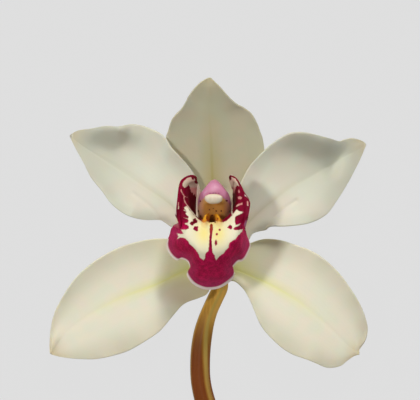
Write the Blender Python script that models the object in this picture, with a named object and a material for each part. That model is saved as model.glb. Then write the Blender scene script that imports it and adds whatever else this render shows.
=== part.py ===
"""A cut cymbidium bloom on its pedicel, lying face up on a table.

Metres, +Z up. The origin is on the table, under the middle of the bloom and its
stalk; +Y runs from the cut end towards the dorsal sepal and +X to its right.

Every outline is drawn on a plan: the bloom as an eye straight above it sees it.
A plan point is (steps right, steps up) from the line of sight, and PLAN_STEP is
the size of a step at PLAN_HEIGHT. A point that stands nearer the eye looks
larger than it is, so place() draws it in towards the line of sight. Heights and
thicknesses are in millimetres.
"""

from dataclasses import dataclass, field

import bmesh
import bpy
import numpy as np

# Driving dimensions
BLOOM_WIDTH = 0.110
STEPS_ACROSS_BLOOM = 318
PLAN_STEP = BLOOM_WIDTH / STEPS_ACROSS_BLOOM
MM = 0.001
EYE_HEIGHT = 640
PLAN_HEIGHT = 15
LINE_OF_SIGHT = (0.0002, 0.0216)

# Facets of each solid
BLADE_ROWS, BLADE_COLUMNS = 21, 13
LIP_ROWS, LIP_COLUMNS = 19, 45
COLUMN_ROWS, COLUMN_SIDES = 15, 20
PEDICEL_ROWS, PEDICEL_SIDES = 27, 24


@dataclass
class Blade:
    """A sepal or petal: its plan, and its heights from the base to the tip."""

    rib: tuple
    left: tuple
    right: tuple
    spine: tuple
    left_lift: tuple
    right_lift: tuple
    ripples: tuple = field(default=())
    thickness: float = 1.15
    edge_thickness: float = 0.75


# Each ripple is (place along, place across, height, length, width): a dent or a
# curl, where along runs from 0 at the base to 1 at the tip and across from -1 at
# the left margin to 1 at the right one.
DORSAL_SEPAL = Blade(
    rib=((4, -49), (3, 0), (2, 30), (1, 60), (-1, 90), (0, 122.5)),
    left=((-8, -50), (-22, -20), (-38, 10), (-44.5, 40), (-44, 62), (-42, 69), (-38.5, 80), (-34, 86),
          (-29, 91), (-24.5, 98), (-20.5, 105.5), (-13, 114.5), (-6, 120), (-0.6, 122.4)),
    right=((16, -50), (30, -15), (46, 15), (54, 42), (53, 60), (50, 69), (47.5, 76), (42, 86),
           (34.5, 92), (27, 96), (19, 103), (11, 112), (5.5, 117.5), (0.6, 122.4)),
    spine=(11.9, 12.7, 14.4, 16.8, 19.8, 23.6, 28.2),
    left_lift=(0.0, 0.2, 0.4, 1.0, 2.2, 1.6, 0.2),
    right_lift=(0.0, 0.2, 0.4, 0.9, 1.8, 1.4, 0.2),
    ripples=((0.68, -1.0, -0.7, 0.10, 0.4), (0.80, -1.0, 0.6, 0.09, 0.4),
             (0.70, 1.0, -0.8, 0.10, 0.4), (0.83, 1.0, 0.6, 0.09, 0.4)),
)
LEFT_LATERAL_SEPAL = Blade(
    rib=((-8.5, -69), (-23, -70), (-55, -85), (-90, -98), (-124, -117), (-148, -137), (-159.3, -154)),
    left=((-1.5, -79.5), (0, -87), (-3, -94), (-11, -98), (-26, -104), (-38, -117), (-50, -131), (-66, -142),
          (-82, -151), (-98, -156), (-114, -159), (-130, -159), (-146, -157.5), (-159.0, -154.4)),
    right=((-14.5, -57.5), (-25, -47.5), (-34, -41), (-43, -38.7), (-58, -39), (-74, -42), (-90, -47),
           (-106, -55), (-122, -66), (-138, -82), (-154, -109), (-159.3, -128), (-160.2, -142), (-159.8, -153.6)),
    spine=(11.9, 12.0, 12.6, 13.2, 13.4, 13.2, 12.6),
    left_lift=(0.0, -0.5, -0.6, -0.4, -0.6, -0.6, 0.0),
    right_lift=(0.0, -0.2, 0.4, 1.2, 1.2, 0.6, 0.0),
    ripples=((0.45, -1.0, 0.8, 0.07, 0.3), (0.62, -1.0, -0.6, 0.06, 0.3), (0.93, 0.4, 0.8, 0.08, 0.5)),
)
RIGHT_LATERAL_SEPAL = Blade(
    rib=((16.2, -70), (26, -70), (61, -85), (91.5, -103.5), (122, -130), (136, -144), (149.2, -153.6)),
    left=((23.0, -59), (32, -49), (40, -43.3), (54, -39), (70, -40), (86, -45), (102, -51), (118, -62),
          (134, -79), (150, -104), (157, -123), (157.5, -133), (155, -141), (149.4, -149), (149.4, -152.6)),
    right=((9.5, -80.5), (16, -82), (24, -81.3), (32.5, -88), (39, -98.5), (44, -110), (48, -120), (53, -129),
           (61, -138), (71, -147.3), (82.5, -154.5), (97, -159.7), (107, -163.8), (115, -167.2), (122, -167.8),
           (130.5, -165.8), (136, -161.5), (143, -156.3), (149.8, -154.2)),
    spine=(11.9, 12.0, 12.6, 13.2, 13.4, 12.8, 11.6),
    left_lift=(0.0, -0.2, 0.4, 1.2, 1.2, 0.2, 0.0),
    right_lift=(0.0, 0.6, 0.2, -0.4, -1.0, -1.6, -0.2),
    ripples=((0.12, 0.95, 0.9, 0.08, 0.3), (0.70, 1.0, 0.9, 0.08, 0.3), (0.90, -0.9, -1.2, 0.07, 0.4)),
)
LEFT_PETAL = Blade(
    rib=((-5, -54), (-20, -30), (-39, -5), (-79, 23), (-110, 43), (-128, 55), (-139.7, 64.4)),
    left=((-11.3, -61.1), (-22, -42), (-31, -29), (-39, -26.7), (-46, -22), (-51, -20), (-66, -19.8), (-83, -15.4),
          (-98, -4.6), (-108, 8.7), (-118.7, 22), (-126, 36.4), (-132, 47), (-136, 55), (-139.9, 63.8)),
    right=((1.3, -47), (-3, -20), (-9, 8), (-17, 27.5), (-30, 43.6), (-38.5, 52.5), (-44, 61.5), (-51, 67.7),
           (-66, 73.9), (-79, 76), (-91, 73.5), (-104, 74.1), (-117, 71.7), (-132, 69.5), (-139.5, 65)),
    spine=(13.4, 16.4, 18.4, 18.4, 15.4, 9.2, 0.3),
    left_lift=(0.0, 1.0, 2.4, 3.0, 2.2, 1.2, 0.0),
    right_lift=(0.0, 1.6, 3.4, 4.4, 3.4, 1.6, 0.0),
    ripples=((0.80, 1.0, 2.4, 0.10, 0.35), (0.93, 0.9, -0.6, 0.05, 0.40), (0.55, 0.5, -0.6, 0.12, 0.35),
             (0.26, -1.0, -1.2, 0.06, 0.35), (0.64, -1.0, -1.0, 0.09, 0.35)),
)
RIGHT_PETAL = Blade(
    rib=((13.5, -54.6), (30, -32), (48, -13), (65, 1), (81, 13), (98, 22), (115, 32), (133, 42), (155.9, 55.5)),
    left=((7.7, -47.1), (14, -20), (24, 6), (31.4, 19), (39.6, 34), (53.9, 49.4), (61, 56), (69, 61.6),
          (77.3, 66.2), (85.5, 68), (95, 67.8), (105, 65.7), (120, 61.6), (129, 58.9), (134.5, 60.6),
          (141.6, 61.8), (148, 60.8), (153, 58.6), (155.6, 56.2)),
    right=((19.3, -62), (30, -50), (38.6, -40.4), (42.7, -33.8), (48.8, -31.2), (56, -29.7), (61, -26.6),
           (79.4, -26.1), (99.8, -23.1), (116, -14.9), (126.3, -1.6), (137.6, 16.7), (147.8, 36.1), (154.4, 51.4),
           (156.1, 54.8)),
    spine=(13.4, 16.4, 18.4, 18.4, 15.4, 9.2, 0.3),
    left_lift=(0.0, 1.6, 3.6, 4.8, 3.6, 1.6, 0.0),
    right_lift=(0.0, 1.0, 2.4, 3.2, 2.6, 1.4, 0.0),
    ripples=((0.80, -1.0, 3.2, 0.10, 0.50), (0.70, -0.1, -0.9, 0.12, 0.35), (0.93, -0.8, -0.8, 0.05, 0.40),
             (0.24, 1.0, -1.4, 0.06, 0.35), (0.70, 1.0, -0.8, 0.09, 0.35)),
)

# The lip is a funnel that is open along the column. Its rails run across it,
# from the left back edge round under the column to the right back edge, and its
# surface runs along them from the hub out to the margin. Each point is (steps
# right, steps up, height).
LIP_FOOT = ((-1.5, -65, 15.6), (-2.6, -71, 15.6), (3.5, -74.5, 15.6), (9.6, -71, 15.6), (8.5, -65, 15.6))
LIP_THROAT = ((-14.2, -25, 20.5), (-15, -37, 21.5), (-9, -46, 22), (3, -49, 22.5), (15, -46, 22), (22.6, -37, 21.5),
              (22.6, -25, 20.5))
LIP_MOUTH = ((-14.2, 4, 27.5), (-17, 12, 30.5), (-23.5, 9, 33.5), (-23.5, 0, 34), (-20.5, -8, 33.5), (-15.5, -16, 33),
             (-9, -21, 33.5), (-4, -23, 34.5), (2, -23.5, 35), (8, -23, 34.5), (13, -21, 33.5), (19.5, -16, 33),
             (25, -8, 33.5), (27.5, 2, 34), (26.5, 12, 33), (24.6, 16, 30.5), (23.2, 6, 27.5))
LIP_FLARE = ((-13.8, 12, 29.3), (-16.5, 20, 33), (-26, 15, 35.6), (-28.5, 2, 36.2), (-28.5, -11, 36), (-23, -24.5, 37),
             (-24, -35, 39.6), (-15, -44, 41), (-9, -50, 41.6), (1, -52, 42), (11, -50, 41.6), (18, -44, 41),
             (27, -35, 39.6), (29, -24.5, 37), (34, -9, 36), (33.5, 3, 36.2), (29.5, 13, 35.2), (23.6, 20, 33),
             (22.6, 12, 29.3))
LIP_MARGIN = ((-13.4, 17, 30.2), (-13.4, 21.2, 31.4), (-14.9, 23.9, 32.4), (-18, 24.8, 33.2), (-23.2, 23.9, 34),
              (-27.7, 20.4, 34.8), (-30.8, 15, 35.6), (-33, 1.6, 36.6), (-34.4, -11.8, 37), (-33.5, -17.1, 37),
              (-31.7, -22.5, 36.8), (-30, -28.3, 36.4), (-34, -27.4, 35.6), (-37.5, -27, 34.4), (-39.7, -35, 33.4),
              (-42.9, -43.9, 32.6), (-40.2, -52.9, 33), (-33.5, -59.6, 34), (-28.6, -58, 35.6), (-22, -61, 36.6),
              (-19.2, -66.7, 36.4), (-20.1, -70.7, 35.6), (-22.3, -75.2, 34.2), (-17, -83.2, 33.2),
              (-8, -88, 32.6), (0, -89, 32.4), (9, -87.6, 32.6), (16.1, -83.7, 33.2), (23.7, -77, 34.2),
              (23.2, -72.5, 35.6), (21.4, -68.5, 36.4), (26.8, -61.8, 36.6), (31.3, -60.9, 35.8), (34.8, -57.3, 34.4),
              (39.3, -47.5, 32.8), (38.8, -43, 32.8), (36.2, -36.8, 33.6), (34.5, -31, 34.6), (33.9, -28.8, 36.2),
              (37, -18.9, 36.8), (39.3, -13.6, 37), (40.2, -5.5, 36.8), (38.4, -0.2, 36.6), (34.8, 5.2, 36.2),
              (30.4, 14.1, 35), (25.9, 21.3, 33.6), (22.3, 24.6, 32.8), (20.2, 24.6, 32), (20.2, 19.5, 30.6),
              (21.8, 16.5, 30))
LIP_THICKNESS = 0.9

# Two keels stand on the floor of the funnel. Each runs along it, at this share
# of a rail from its middle, and is highest where the mouth begins to flare.
KEEL_OFFSET = 0.075
KEEL_WIDTH = 0.03
KEEL_HEIGHT = 1.9
KEEL_RUN = ((0.0, 0.0), (0.2, 0.25), (0.36, 0.7), (0.47, 1.0), (0.54, 0.55), (0.6, 0.0), (1.0, 0.0))

# The column: for each section, where its back and its front are, as (steps up,
# height), then half its width and the depth of the hollow in its front. The two
# powers round off its front and draw its back to a ridge.
COLUMN_MIDDLE = 4.4
COLUMN = (((-53, 15), (-61.5, 15), 2.2, 0), ((-38, 17.8), (-55.5, 18.4), 3.0, 0),
          ((-17, 21.8), (-42, 22.4), 4.2, 0.1), ((4, 26.6), (-28, 27), 5.0, 0.6),
          ((16.5, 31.2), (-16.6, 31.4), 5.3, 1.4), ((20.6, 34.4), (-9, 35), 5.2, 1.8),
          ((18, 37.4), (-5, 37), 4.6, 1.0), ((10.5, 38.9), (-3, 37.7), 3.5, 0.2))
COLUMN_RIDGE = 1.7
COLUMN_FRONT = 0.8
COLUMN_HOLLOW_WIDTH = 0.5

# The anther cap: where its middle is, half its size each way, how it leans, and
# how much its side towards the dorsal sepal and its underside are flattened
CAP_MIDDLE = (3.3, 1.6, 39.1)
CAP_HALF_SIZE = (3.0, 1.9, 1.35)
CAP_LEAN = 22
CAP_FAR_SIDE = 0.8
CAP_UNDERSIDE = 0.35
CAP_ROWS, CAP_SIDES = 8, 18

# The stalk: for each section, (steps right, steps up, height, radius), from the
# head of the ovary to the cut end. It lies along the table on a flat of its own.
# The furrows between its ribs are a share of its radius deep.
PEDICEL = ((4, -62, 14.6, 3.3), (4, -62, 14.0, 4.1), (4, -62.4, 12.2, 4.2), (4.6, -65, 10.3, 3.8),
           (6.4, -70, 8.6, 3.3), (8.8, -78, 6.9, 2.9), (9.4, -87, 5.5, 2.75), (4, -98.5, 4.5, 2.75),
           (-1.2, -110, 3.6, 2.8), (-5.2, -121, 3.05, 3.1), (-8.2, -133, 3.1, 3.45), (-10.2, -147, 3.2, 3.6),
           (-11, -162, 3.25, 3.65), (-10.6, -177, 3.25, 3.65), (-8.6, -190, 3.3, 3.7), (-5, -203, 3.3, 3.75),
           (2, -220, 3.2, 3.5), (10.5, -238, 3.0, 3.2))
RIB_COUNT = 6
FURROW_DEPTH = 0.065


def build():
    """Builds every piece of the bloom."""
    clear_scene()
    ivory = material("ivory_petal", (0.80, 0.76, 0.58), 0.45)
    crimson = material("crimson_lip", (0.26, 0.008, 0.040), 0.50)
    pink = material("pink_column", (0.58, 0.20, 0.30), 0.35)
    cream = material("cream_cap", (0.86, 0.80, 0.66), 0.40)
    olive = material("olive_stalk", (0.24, 0.13, 0.03), 0.45)
    add_piece("dorsal_sepal", blade(DORSAL_SEPAL), ivory)
    add_piece("left_lateral_sepal", blade(LEFT_LATERAL_SEPAL), ivory)
    add_piece("right_lateral_sepal", blade(RIGHT_LATERAL_SEPAL), ivory)
    add_piece("left_petal", blade(LEFT_PETAL), ivory)
    add_piece("right_petal", blade(RIGHT_PETAL), ivory)
    add_piece("lip", lip(), crimson)
    add_piece("column", column(), pink)
    add_piece("anther_cap", anther_cap(), cream)
    add_piece("pedicel", pedicel(), olive)


def clear_scene():
    """Empties the scene that Blender starts with."""
    for thing in list(bpy.data.objects):
        bpy.data.objects.remove(thing)


def material(name, colour, roughness):
    """A plain material of one colour."""
    made = bpy.data.materials.new(name)
    made.use_nodes = True
    shader = made.node_tree.nodes["Principled BSDF"]
    shader.inputs["Base Color"].default_value = (*colour, 1.0)
    shader.inputs["Roughness"].default_value = roughness
    shader.inputs["Metallic"].default_value = 0.0
    return made


def add_piece(name, mesh, finish):
    """Puts a mesh into the scene as one named piece."""
    mesh.name = name
    mesh.shade_smooth()
    mesh.materials.append(finish)
    bpy.context.scene.collection.objects.link(bpy.data.objects.new(name, mesh))


def place(plan, height):
    """The points of the plan, raised to their heights in millimetres, in metres."""
    height = np.asarray(height, float)
    nearer = (EYE_HEIGHT - height) / (EYE_HEIGHT - PLAN_HEIGHT)
    flat = np.asarray(plan, float) * PLAN_STEP * nearer[..., None] + LINE_OF_SIGHT
    return np.concatenate([flat, height[..., None] * MM], axis=-1)


def through(points, at):
    """The smooth curve through the points, at places from 0 to its last index."""
    points = np.asarray(points, float)
    last = len(points) - 1
    low = np.clip(np.floor(at).astype(int), 0, last - 1)
    part = (np.asarray(at, float) - low).reshape(-1, *[1] * (points.ndim - 1))
    before, after = points[np.maximum(low - 1, 0)], points[np.minimum(low + 2, last)]
    start, end = points[low], points[low + 1]
    leave, arrive = (end - before) / 2, (after - start) / 2
    square, cube = part**2, part**3
    return (
        start * (2 * cube - 3 * square + 1)
        + leave * (cube - 2 * square + part)
        + end * (3 * square - 2 * cube)
        + arrive * (cube - square)
    )


def even_curve(points, count):
    """Points at even steps along the smooth curve through the points given."""
    dense = through(points, np.linspace(0, len(points) - 1, 400))
    run = np.concatenate([[0], np.cumsum(np.linalg.norm(np.diff(dense[:, :2], axis=0), axis=1))])
    wanted = np.linspace(0, run[-1], count)
    return np.stack([np.interp(wanted, run, column) for column in dense.T], axis=-1)


def along(values, share):
    """Values spread evenly from the base to the tip, read at shares of the way."""
    return through(values, np.asarray(share) * (len(values) - 1))


def normals_of(grid):
    """The unit normal of a grid of points at each point."""
    down = np.gradient(grid, axis=0)
    across = np.gradient(grid, axis=1)
    normal = np.cross(across, down)
    return normal / np.maximum(np.linalg.norm(normal, axis=-1, keepdims=True), 1e-12)


def sheet_mesh(upper, lower):
    """A closed mesh between two grids of points, split alike on both faces."""
    rows, columns = upper.shape[:2]
    made = bmesh.new()
    top = [[made.verts.new(point) for point in row] for row in upper]
    under = [[made.verts.new(point) for point in row] for row in lower]
    for i in range(rows - 1):
        for j in range(columns - 1):
            a, b, c, d = top[i][j], top[i + 1][j], top[i + 1][j + 1], top[i][j + 1]
            made.faces.new((a, c, b))
            made.faces.new((a, d, c))
            a, b, c, d = under[i][j], under[i + 1][j], under[i + 1][j + 1], under[i][j + 1]
            made.faces.new((a, b, c))
            made.faces.new((a, c, d))
    rim = [(i, 0) for i in range(rows)]
    rim += [(rows - 1, j) for j in range(1, columns)]
    rim += [(i, columns - 1) for i in range(rows - 2, -1, -1)]
    rim += [(0, j) for j in range(columns - 2, 0, -1)]
    for (i, j), (k, m) in zip(rim, rim[1:] + rim[:1]):
        made.faces.new((top[i][j], top[k][m], under[k][m], under[i][j]))
    return finished(made)


def finished(made):
    """The mesh of a bmesh, in triangles, with its faces turned outwards."""
    bmesh.ops.triangulate(made, faces=made.faces)
    if made.calc_volume(signed=True) < 0:
        bmesh.ops.reverse_faces(made, faces=made.faces)
    mesh = bpy.data.meshes.new("piece")
    made.to_mesh(mesh)
    made.free()
    return mesh


def blade(shape):
    """A sepal or petal, which starts clear of the hub and never goes below the table."""
    share = np.linspace(0, 1, BLADE_ROWS)
    across = np.linspace(-1, 1, BLADE_COLUMNS)
    rib, left, right = (even_curve(line, BLADE_ROWS)[:, None] for line in (shape.rib, shape.left, shape.right))
    to_left, to_right = np.clip(-across, 0, 1)[None, :, None], np.clip(across, 0, 1)[None, :, None]
    plan = rib + (left - rib) * to_left + (right - rib) * to_right
    height = along(shape.spine, share)[:, None] + np.where(
        across < 0, along(shape.left_lift, share)[:, None], along(shape.right_lift, share)[:, None]
    ) * across**2
    for at, over, rise, length, width in shape.ripples:
        near = ((share[:, None] - at) / length) ** 2 + ((across - over) / width) ** 2
        height = height + rise * np.exp(-near)
    middle = place(plan, height)
    half = (shape.thickness + (shape.edge_thickness - shape.thickness) * across**2) / 2 * MM
    normal = normals_of(middle) * half[None, :, None]
    upper, lower = middle + normal, middle - normal
    lowest = np.minimum(upper[..., 2], lower[..., 2])
    lift = np.maximum(-lowest, 0)
    upper[..., 2] += lift
    lower[..., 2] += lift
    return sheet_mesh(upper, lower)


def lip_grid(rows, columns):
    """The middle of the lip's sheet, from its foot to its margin and from its right to its left."""
    share = np.linspace(0, 1, columns)
    rails = np.stack([even_curve(rail, columns) if rail is LIP_FOOT else along(rail, share)
                      for rail in (LIP_FOOT, LIP_THROAT, LIP_MOUTH, LIP_FLARE, LIP_MARGIN)])
    grid = along(rails, np.linspace(0, 1, rows))
    return place(grid[..., :2], grid[..., 2])[:, ::-1]


def lip():
    """The lip: one sheet with its side lobes, its midlobe and two keels."""
    middle = lip_grid(LIP_ROWS, LIP_COLUMNS)
    normal = normals_of(middle)
    half = LIP_THICKNESS / 2 * MM
    share, out = np.linspace(0, 1, LIP_COLUMNS), np.linspace(0, 1, LIP_ROWS)
    ridge = np.exp(-(((np.abs(share - 0.5) - KEEL_OFFSET) / KEEL_WIDTH) ** 2))
    keel = np.interp(out, *zip(*KEEL_RUN))[:, None] * ridge * KEEL_HEIGHT * MM
    return sheet_mesh(middle + normal * (half + keel[..., None]), middle - normal * half)


def column():
    """The column: arched, ridged along its back and hollow in front."""
    at = np.linspace(0, len(COLUMN) - 1, COLUMN_ROWS)
    back = through([section[0] for section in COLUMN], at)
    front = through([section[1] for section in COLUMN], at)
    wide = through([section[2] for section in COLUMN], at)
    hollow = through([section[3] for section in COLUMN], at)
    turn = np.linspace(0, 2 * np.pi, COLUMN_SIDES, endpoint=False)
    behind = np.cos(turn)
    aside = np.sign(np.sin(turn)) * np.abs(np.sin(turn)) ** np.where(behind > 0, COLUMN_RIDGE, COLUMN_FRONT)
    rings = []
    for i in range(COLUMN_ROWS):
        deep = np.linalg.norm((back[i] - front[i]) * (PLAN_STEP / MM, 1)) / 2
        dent = hollow[i] * np.exp(-((aside / COLUMN_HOLLOW_WIDTH) ** 2)) * (behind < 0)
        place_on = ((behind + dent / deep) + 1) / 2
        up = front[i, 0] + (back[i, 0] - front[i, 0]) * place_on
        high = front[i, 1] + (back[i, 1] - front[i, 1]) * place_on
        ring = place(np.stack([np.full(COLUMN_SIDES, COLUMN_MIDDLE), up], axis=-1), high)
        ring[:, 0] += aside * wide[i] * MM
        rings.append(ring)
    return tube_mesh(rings)


def anther_cap():
    """The anther cap: a small dome, flat towards the column's back."""
    lean = np.radians(CAP_LEAN)
    turn = np.linspace(0, 2 * np.pi, CAP_SIDES, endpoint=False)
    middle = place(CAP_MIDDLE[:2], CAP_MIDDLE[2])
    rings = []
    for tilt in np.radians(np.linspace(-80, 80, CAP_ROWS)):
        aside = np.cos(tilt) * np.cos(turn) * CAP_HALF_SIZE[0]
        ahead = np.cos(tilt) * np.sin(turn) * CAP_HALF_SIZE[1]
        ahead = np.where(ahead > 0, ahead * CAP_FAR_SIDE, ahead)
        high = np.sin(tilt) * CAP_HALF_SIZE[2] * (CAP_UNDERSIDE if tilt < 0 else 1)
        leaning = ahead * np.cos(lean) - high * np.sin(lean)
        ring = np.stack([aside, leaning, ahead * np.sin(lean) + high * np.cos(lean)], axis=-1)
        rings.append(middle + ring * MM)
    return tube_mesh(rings)


def pedicel():
    """The stalk: ribbed, with the head of the ovary at one end and a cut at the other."""
    path = through(PEDICEL, np.linspace(0, len(PEDICEL) - 1, PEDICEL_ROWS))
    middle = place(path[:, :2], path[:, 2])
    ahead = np.gradient(middle, axis=0)
    ahead[:2] = (0, 0, -1)
    ahead /= np.linalg.norm(ahead, axis=1)[:, None]
    turn = np.linspace(0, 2 * np.pi, PEDICEL_SIDES, endpoint=False)
    ribbed = 1 - FURROW_DEPTH * (0.5 + 0.5 * np.cos(RIB_COUNT * turn))
    rings = []
    for i in range(PEDICEL_ROWS):
        aside = np.cross(ahead[i], (0, -1, 0) if abs(ahead[i, 2]) > 0.9 else (0, 0, 1))
        aside /= np.linalg.norm(aside)
        above = np.cross(aside, ahead[i])
        round_it = np.cos(turn)[:, None] * aside + np.sin(turn)[:, None] * above
        ring = middle[i] + round_it * (ribbed * path[i, 3] * MM)[:, None]
        ring[:, 2] = np.maximum(ring[:, 2], 0)
        rings.append(ring)
    return tube_mesh(rings)


def tube_mesh(rings):
    """A closed mesh through a row of rings, with a fan over each end."""
    made = bmesh.new()
    loops = [[made.verts.new(point) for point in ring] for ring in rings]
    for one, next_one in zip(loops, loops[1:]):
        for j in range(len(one)):
            k = (j + 1) % len(one)
            made.faces.new((one[j], one[k], next_one[k], next_one[j]))
    for ring, loop in ((rings[0], loops[0][::-1]), (rings[-1], loops[-1])):
        centre = made.verts.new(np.mean(ring, axis=0))
        for j in range(len(loop)):
            made.faces.new((loop[j], loop[(j + 1) % len(loop)], centre))
    return finished(made)


build()
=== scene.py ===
"""A cut cymbidium bloom on its stalk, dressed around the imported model.

Metres, +Z up. Every outline is drawn on the plan that the solids are drawn on: a
point is (steps right, steps up) from the line of sight of an eye straight above
the bloom. Heights and thicknesses are in millimetres.
"""

from __future__ import annotations

import logging
import math
from dataclasses import dataclass, field
from enum import Enum

import bmesh
import bpy
import numpy as np
from mathutils import Matrix, Vector

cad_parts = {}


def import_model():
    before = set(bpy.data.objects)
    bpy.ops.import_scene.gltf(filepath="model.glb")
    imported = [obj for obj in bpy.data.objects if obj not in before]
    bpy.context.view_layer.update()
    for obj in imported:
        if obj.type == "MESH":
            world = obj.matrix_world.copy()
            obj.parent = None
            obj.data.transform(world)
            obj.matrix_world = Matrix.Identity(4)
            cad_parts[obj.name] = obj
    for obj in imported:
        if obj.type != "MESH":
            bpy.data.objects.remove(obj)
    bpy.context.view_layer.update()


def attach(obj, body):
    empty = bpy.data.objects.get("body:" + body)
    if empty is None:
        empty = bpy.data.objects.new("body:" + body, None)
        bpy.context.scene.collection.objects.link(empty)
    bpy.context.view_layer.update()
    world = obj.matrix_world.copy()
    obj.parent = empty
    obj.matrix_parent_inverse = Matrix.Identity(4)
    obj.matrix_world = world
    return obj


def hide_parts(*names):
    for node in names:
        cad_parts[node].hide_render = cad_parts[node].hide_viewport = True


LOG = logging.getLogger("orchid")
MM = 0.001
BODY = "root"
RIM_STEPS = 4
FAR_OUTSIDE = -9.0

Line = tuple[tuple[float, ...], ...]


class Slot(Enum):
    """Names of five material slots, which nothing in this script reads."""

    PETAL = "ivory_petal"
    LIP = "crimson_lip"
    COLUMN = "pink_column"
    CAP = "cream_cap"
    STALK = "olive_stalk"


class Face(Enum):
    """The two faces of a sheet, and the number its points carry for the shader."""

    INNER = 1.0
    OUTER = 0.0


# Colours and nodes


def linear(colour: str) -> tuple[float, float, float, float]:
    """Turns an sRGB hex colour into the linear one that a shader takes.

    Args:
        colour: the colour, as "#RRGGBB".

    Returns:
        Its linear red, green, blue and an alpha of 1.
    """
    parts = [int(colour[at : at + 2], 16) / 255 for at in (1, 3, 5)]
    return (*(part / 12.92 if part <= 0.04045 else ((part + 0.055) / 1.055) ** 2.4 for part in parts), 1.0)


def add_node(
    tree: bpy.types.NodeTree,
    kind: str,
    settings: dict[str, object] | None = None,
    inputs: dict[str | int, object] | None = None,
    output: str | int = 0,
) -> bpy.types.NodeSocket:
    """Adds a node with its settings and its links.

    Args:
        tree: the node tree that it goes into.
        kind: the node's type.
        settings: the node's own properties.
        inputs: for a socket's name or number, its value or the output that feeds it.
        output: the output that is wanted.

    Returns:
        The output that other nodes link from.
    """
    node = tree.nodes.new(kind)
    for name, value in (settings or {}).items():
        setattr(node, name, value)
    for key, value in (inputs or {}).items():
        if isinstance(value, bpy.types.NodeSocket):
            tree.links.new(value, node.inputs[key])
        elif isinstance(value, str) and value.startswith("#"):
            node.inputs[key].default_value = linear(value)
        else:
            node.inputs[key].default_value = value
    return node.outputs[output] if len(node.outputs) else None


@dataclass
class Finish:
    """A finish under construction: its material, and short ways to add to its nodes."""

    name: str
    material: bpy.types.Material = field(init=False)

    def __post_init__(self) -> None:
        """Starts the material with an empty node tree."""
        self.material = bpy.data.materials.new(self.name)
        self.material.use_nodes = True
        self.material.node_tree.nodes.clear()

    def add(
        self,
        kind: str,
        settings: dict[str, object] | None = None,
        inputs: dict[str | int, object] | None = None,
        output: str | int = 0,
    ) -> bpy.types.NodeSocket:
        """Adds a shader node, as add_node does."""
        return add_node(self.material.node_tree, "ShaderNode" + kind, settings, inputs, output)

    def value(self, name: str) -> bpy.types.NodeSocket:
        """Reads one of the piece's attributes."""
        return self.add("Attribute", {"attribute_name": name}, output="Fac")

    def ramp(
        self, value: bpy.types.NodeSocket, low: float, high: float, start: float = 0.0, end: float = 1.0
    ) -> bpy.types.NodeSocket:
        """Turns a range of a value smoothly into another.

        Args:
            value: the output to read.
            low: where the range starts.
            high: where it ends.
            start: the result at low and before it.
            end: the result at high and after it.

        Returns:
            The output with the result.
        """
        sockets = {"Value": value, "From Min": low, "From Max": high, "To Min": start, "To Max": end}
        if low > high:
            sockets.update({"From Min": high, "From Max": low, "To Min": end, "To Max": start})
        return self.add("MapRange", {"interpolation_type": "SMOOTHSTEP"}, sockets)

    def maths(
        self, kind: str, first: object, second: object = 0.0, third: object = 0.0
    ) -> bpy.types.NodeSocket:
        """Works out a number from others."""
        return self.add("Math", {"operation": kind}, {0: first, 1: second, 2: third})

    def times(self, first: object, second: object) -> bpy.types.NodeSocket:
        """Multiplies two numbers."""
        return self.maths("MULTIPLY", first, second)

    def blend(self, share: object, first: object, second: object) -> bpy.types.NodeSocket:
        """Blends two colours, each an output or a hex colour."""
        return self.add("Mix", {"data_type": "RGBA"}, {0: share, 6: first, 7: second}, output=2)

    def grain(
        self, size_mm: float, detail: float = 2.0, stretch: tuple[float, ...] = (1, 1, 1)
    ) -> bpy.types.NodeSocket:
        """Draws soft noise on object coordinates.

        Args:
            size_mm: how large one soft patch is, in millimetres.
            detail: how many finer layers it has.
            stretch: how much longer the patches are along each axis.

        Returns:
            The output with the noise, from 0 to 1.
        """
        where = self.add("TexCoord", output="Object")
        scale = tuple(1 / (size_mm * MM * part) for part in stretch)
        placed = self.add("Mapping", {}, {"Vector": where, "Scale": scale})
        return self.add("TexNoise", {}, {"Vector": placed, "Scale": 1.0, "Detail": detail, "Roughness": 0.55})

    def close(
        self, colour: object, height: object, relief_mm: float, sockets: dict[str, object]
    ) -> bpy.types.Material:
        """Ends the finish in its shader.

        Args:
            colour: the output with its colour.
            height: the output with its relief, from 0 to 1.
            relief_mm: how high that relief is, in millimetres.
            sockets: the shader's other inputs.

        Returns:
            The finished material.
        """
        relief = {"Strength": 1.0, "Distance": relief_mm * MM, "Height": height}
        bump = self.add("Bump", {}, relief, output="Normal")
        given = {"Base Color": colour, "Normal": bump, **sockets}
        shader = self.add("BsdfPrincipled", {}, given, output="BSDF")
        self.add("OutputMaterial", {}, {"Surface": shader})
        return self.material


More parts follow.
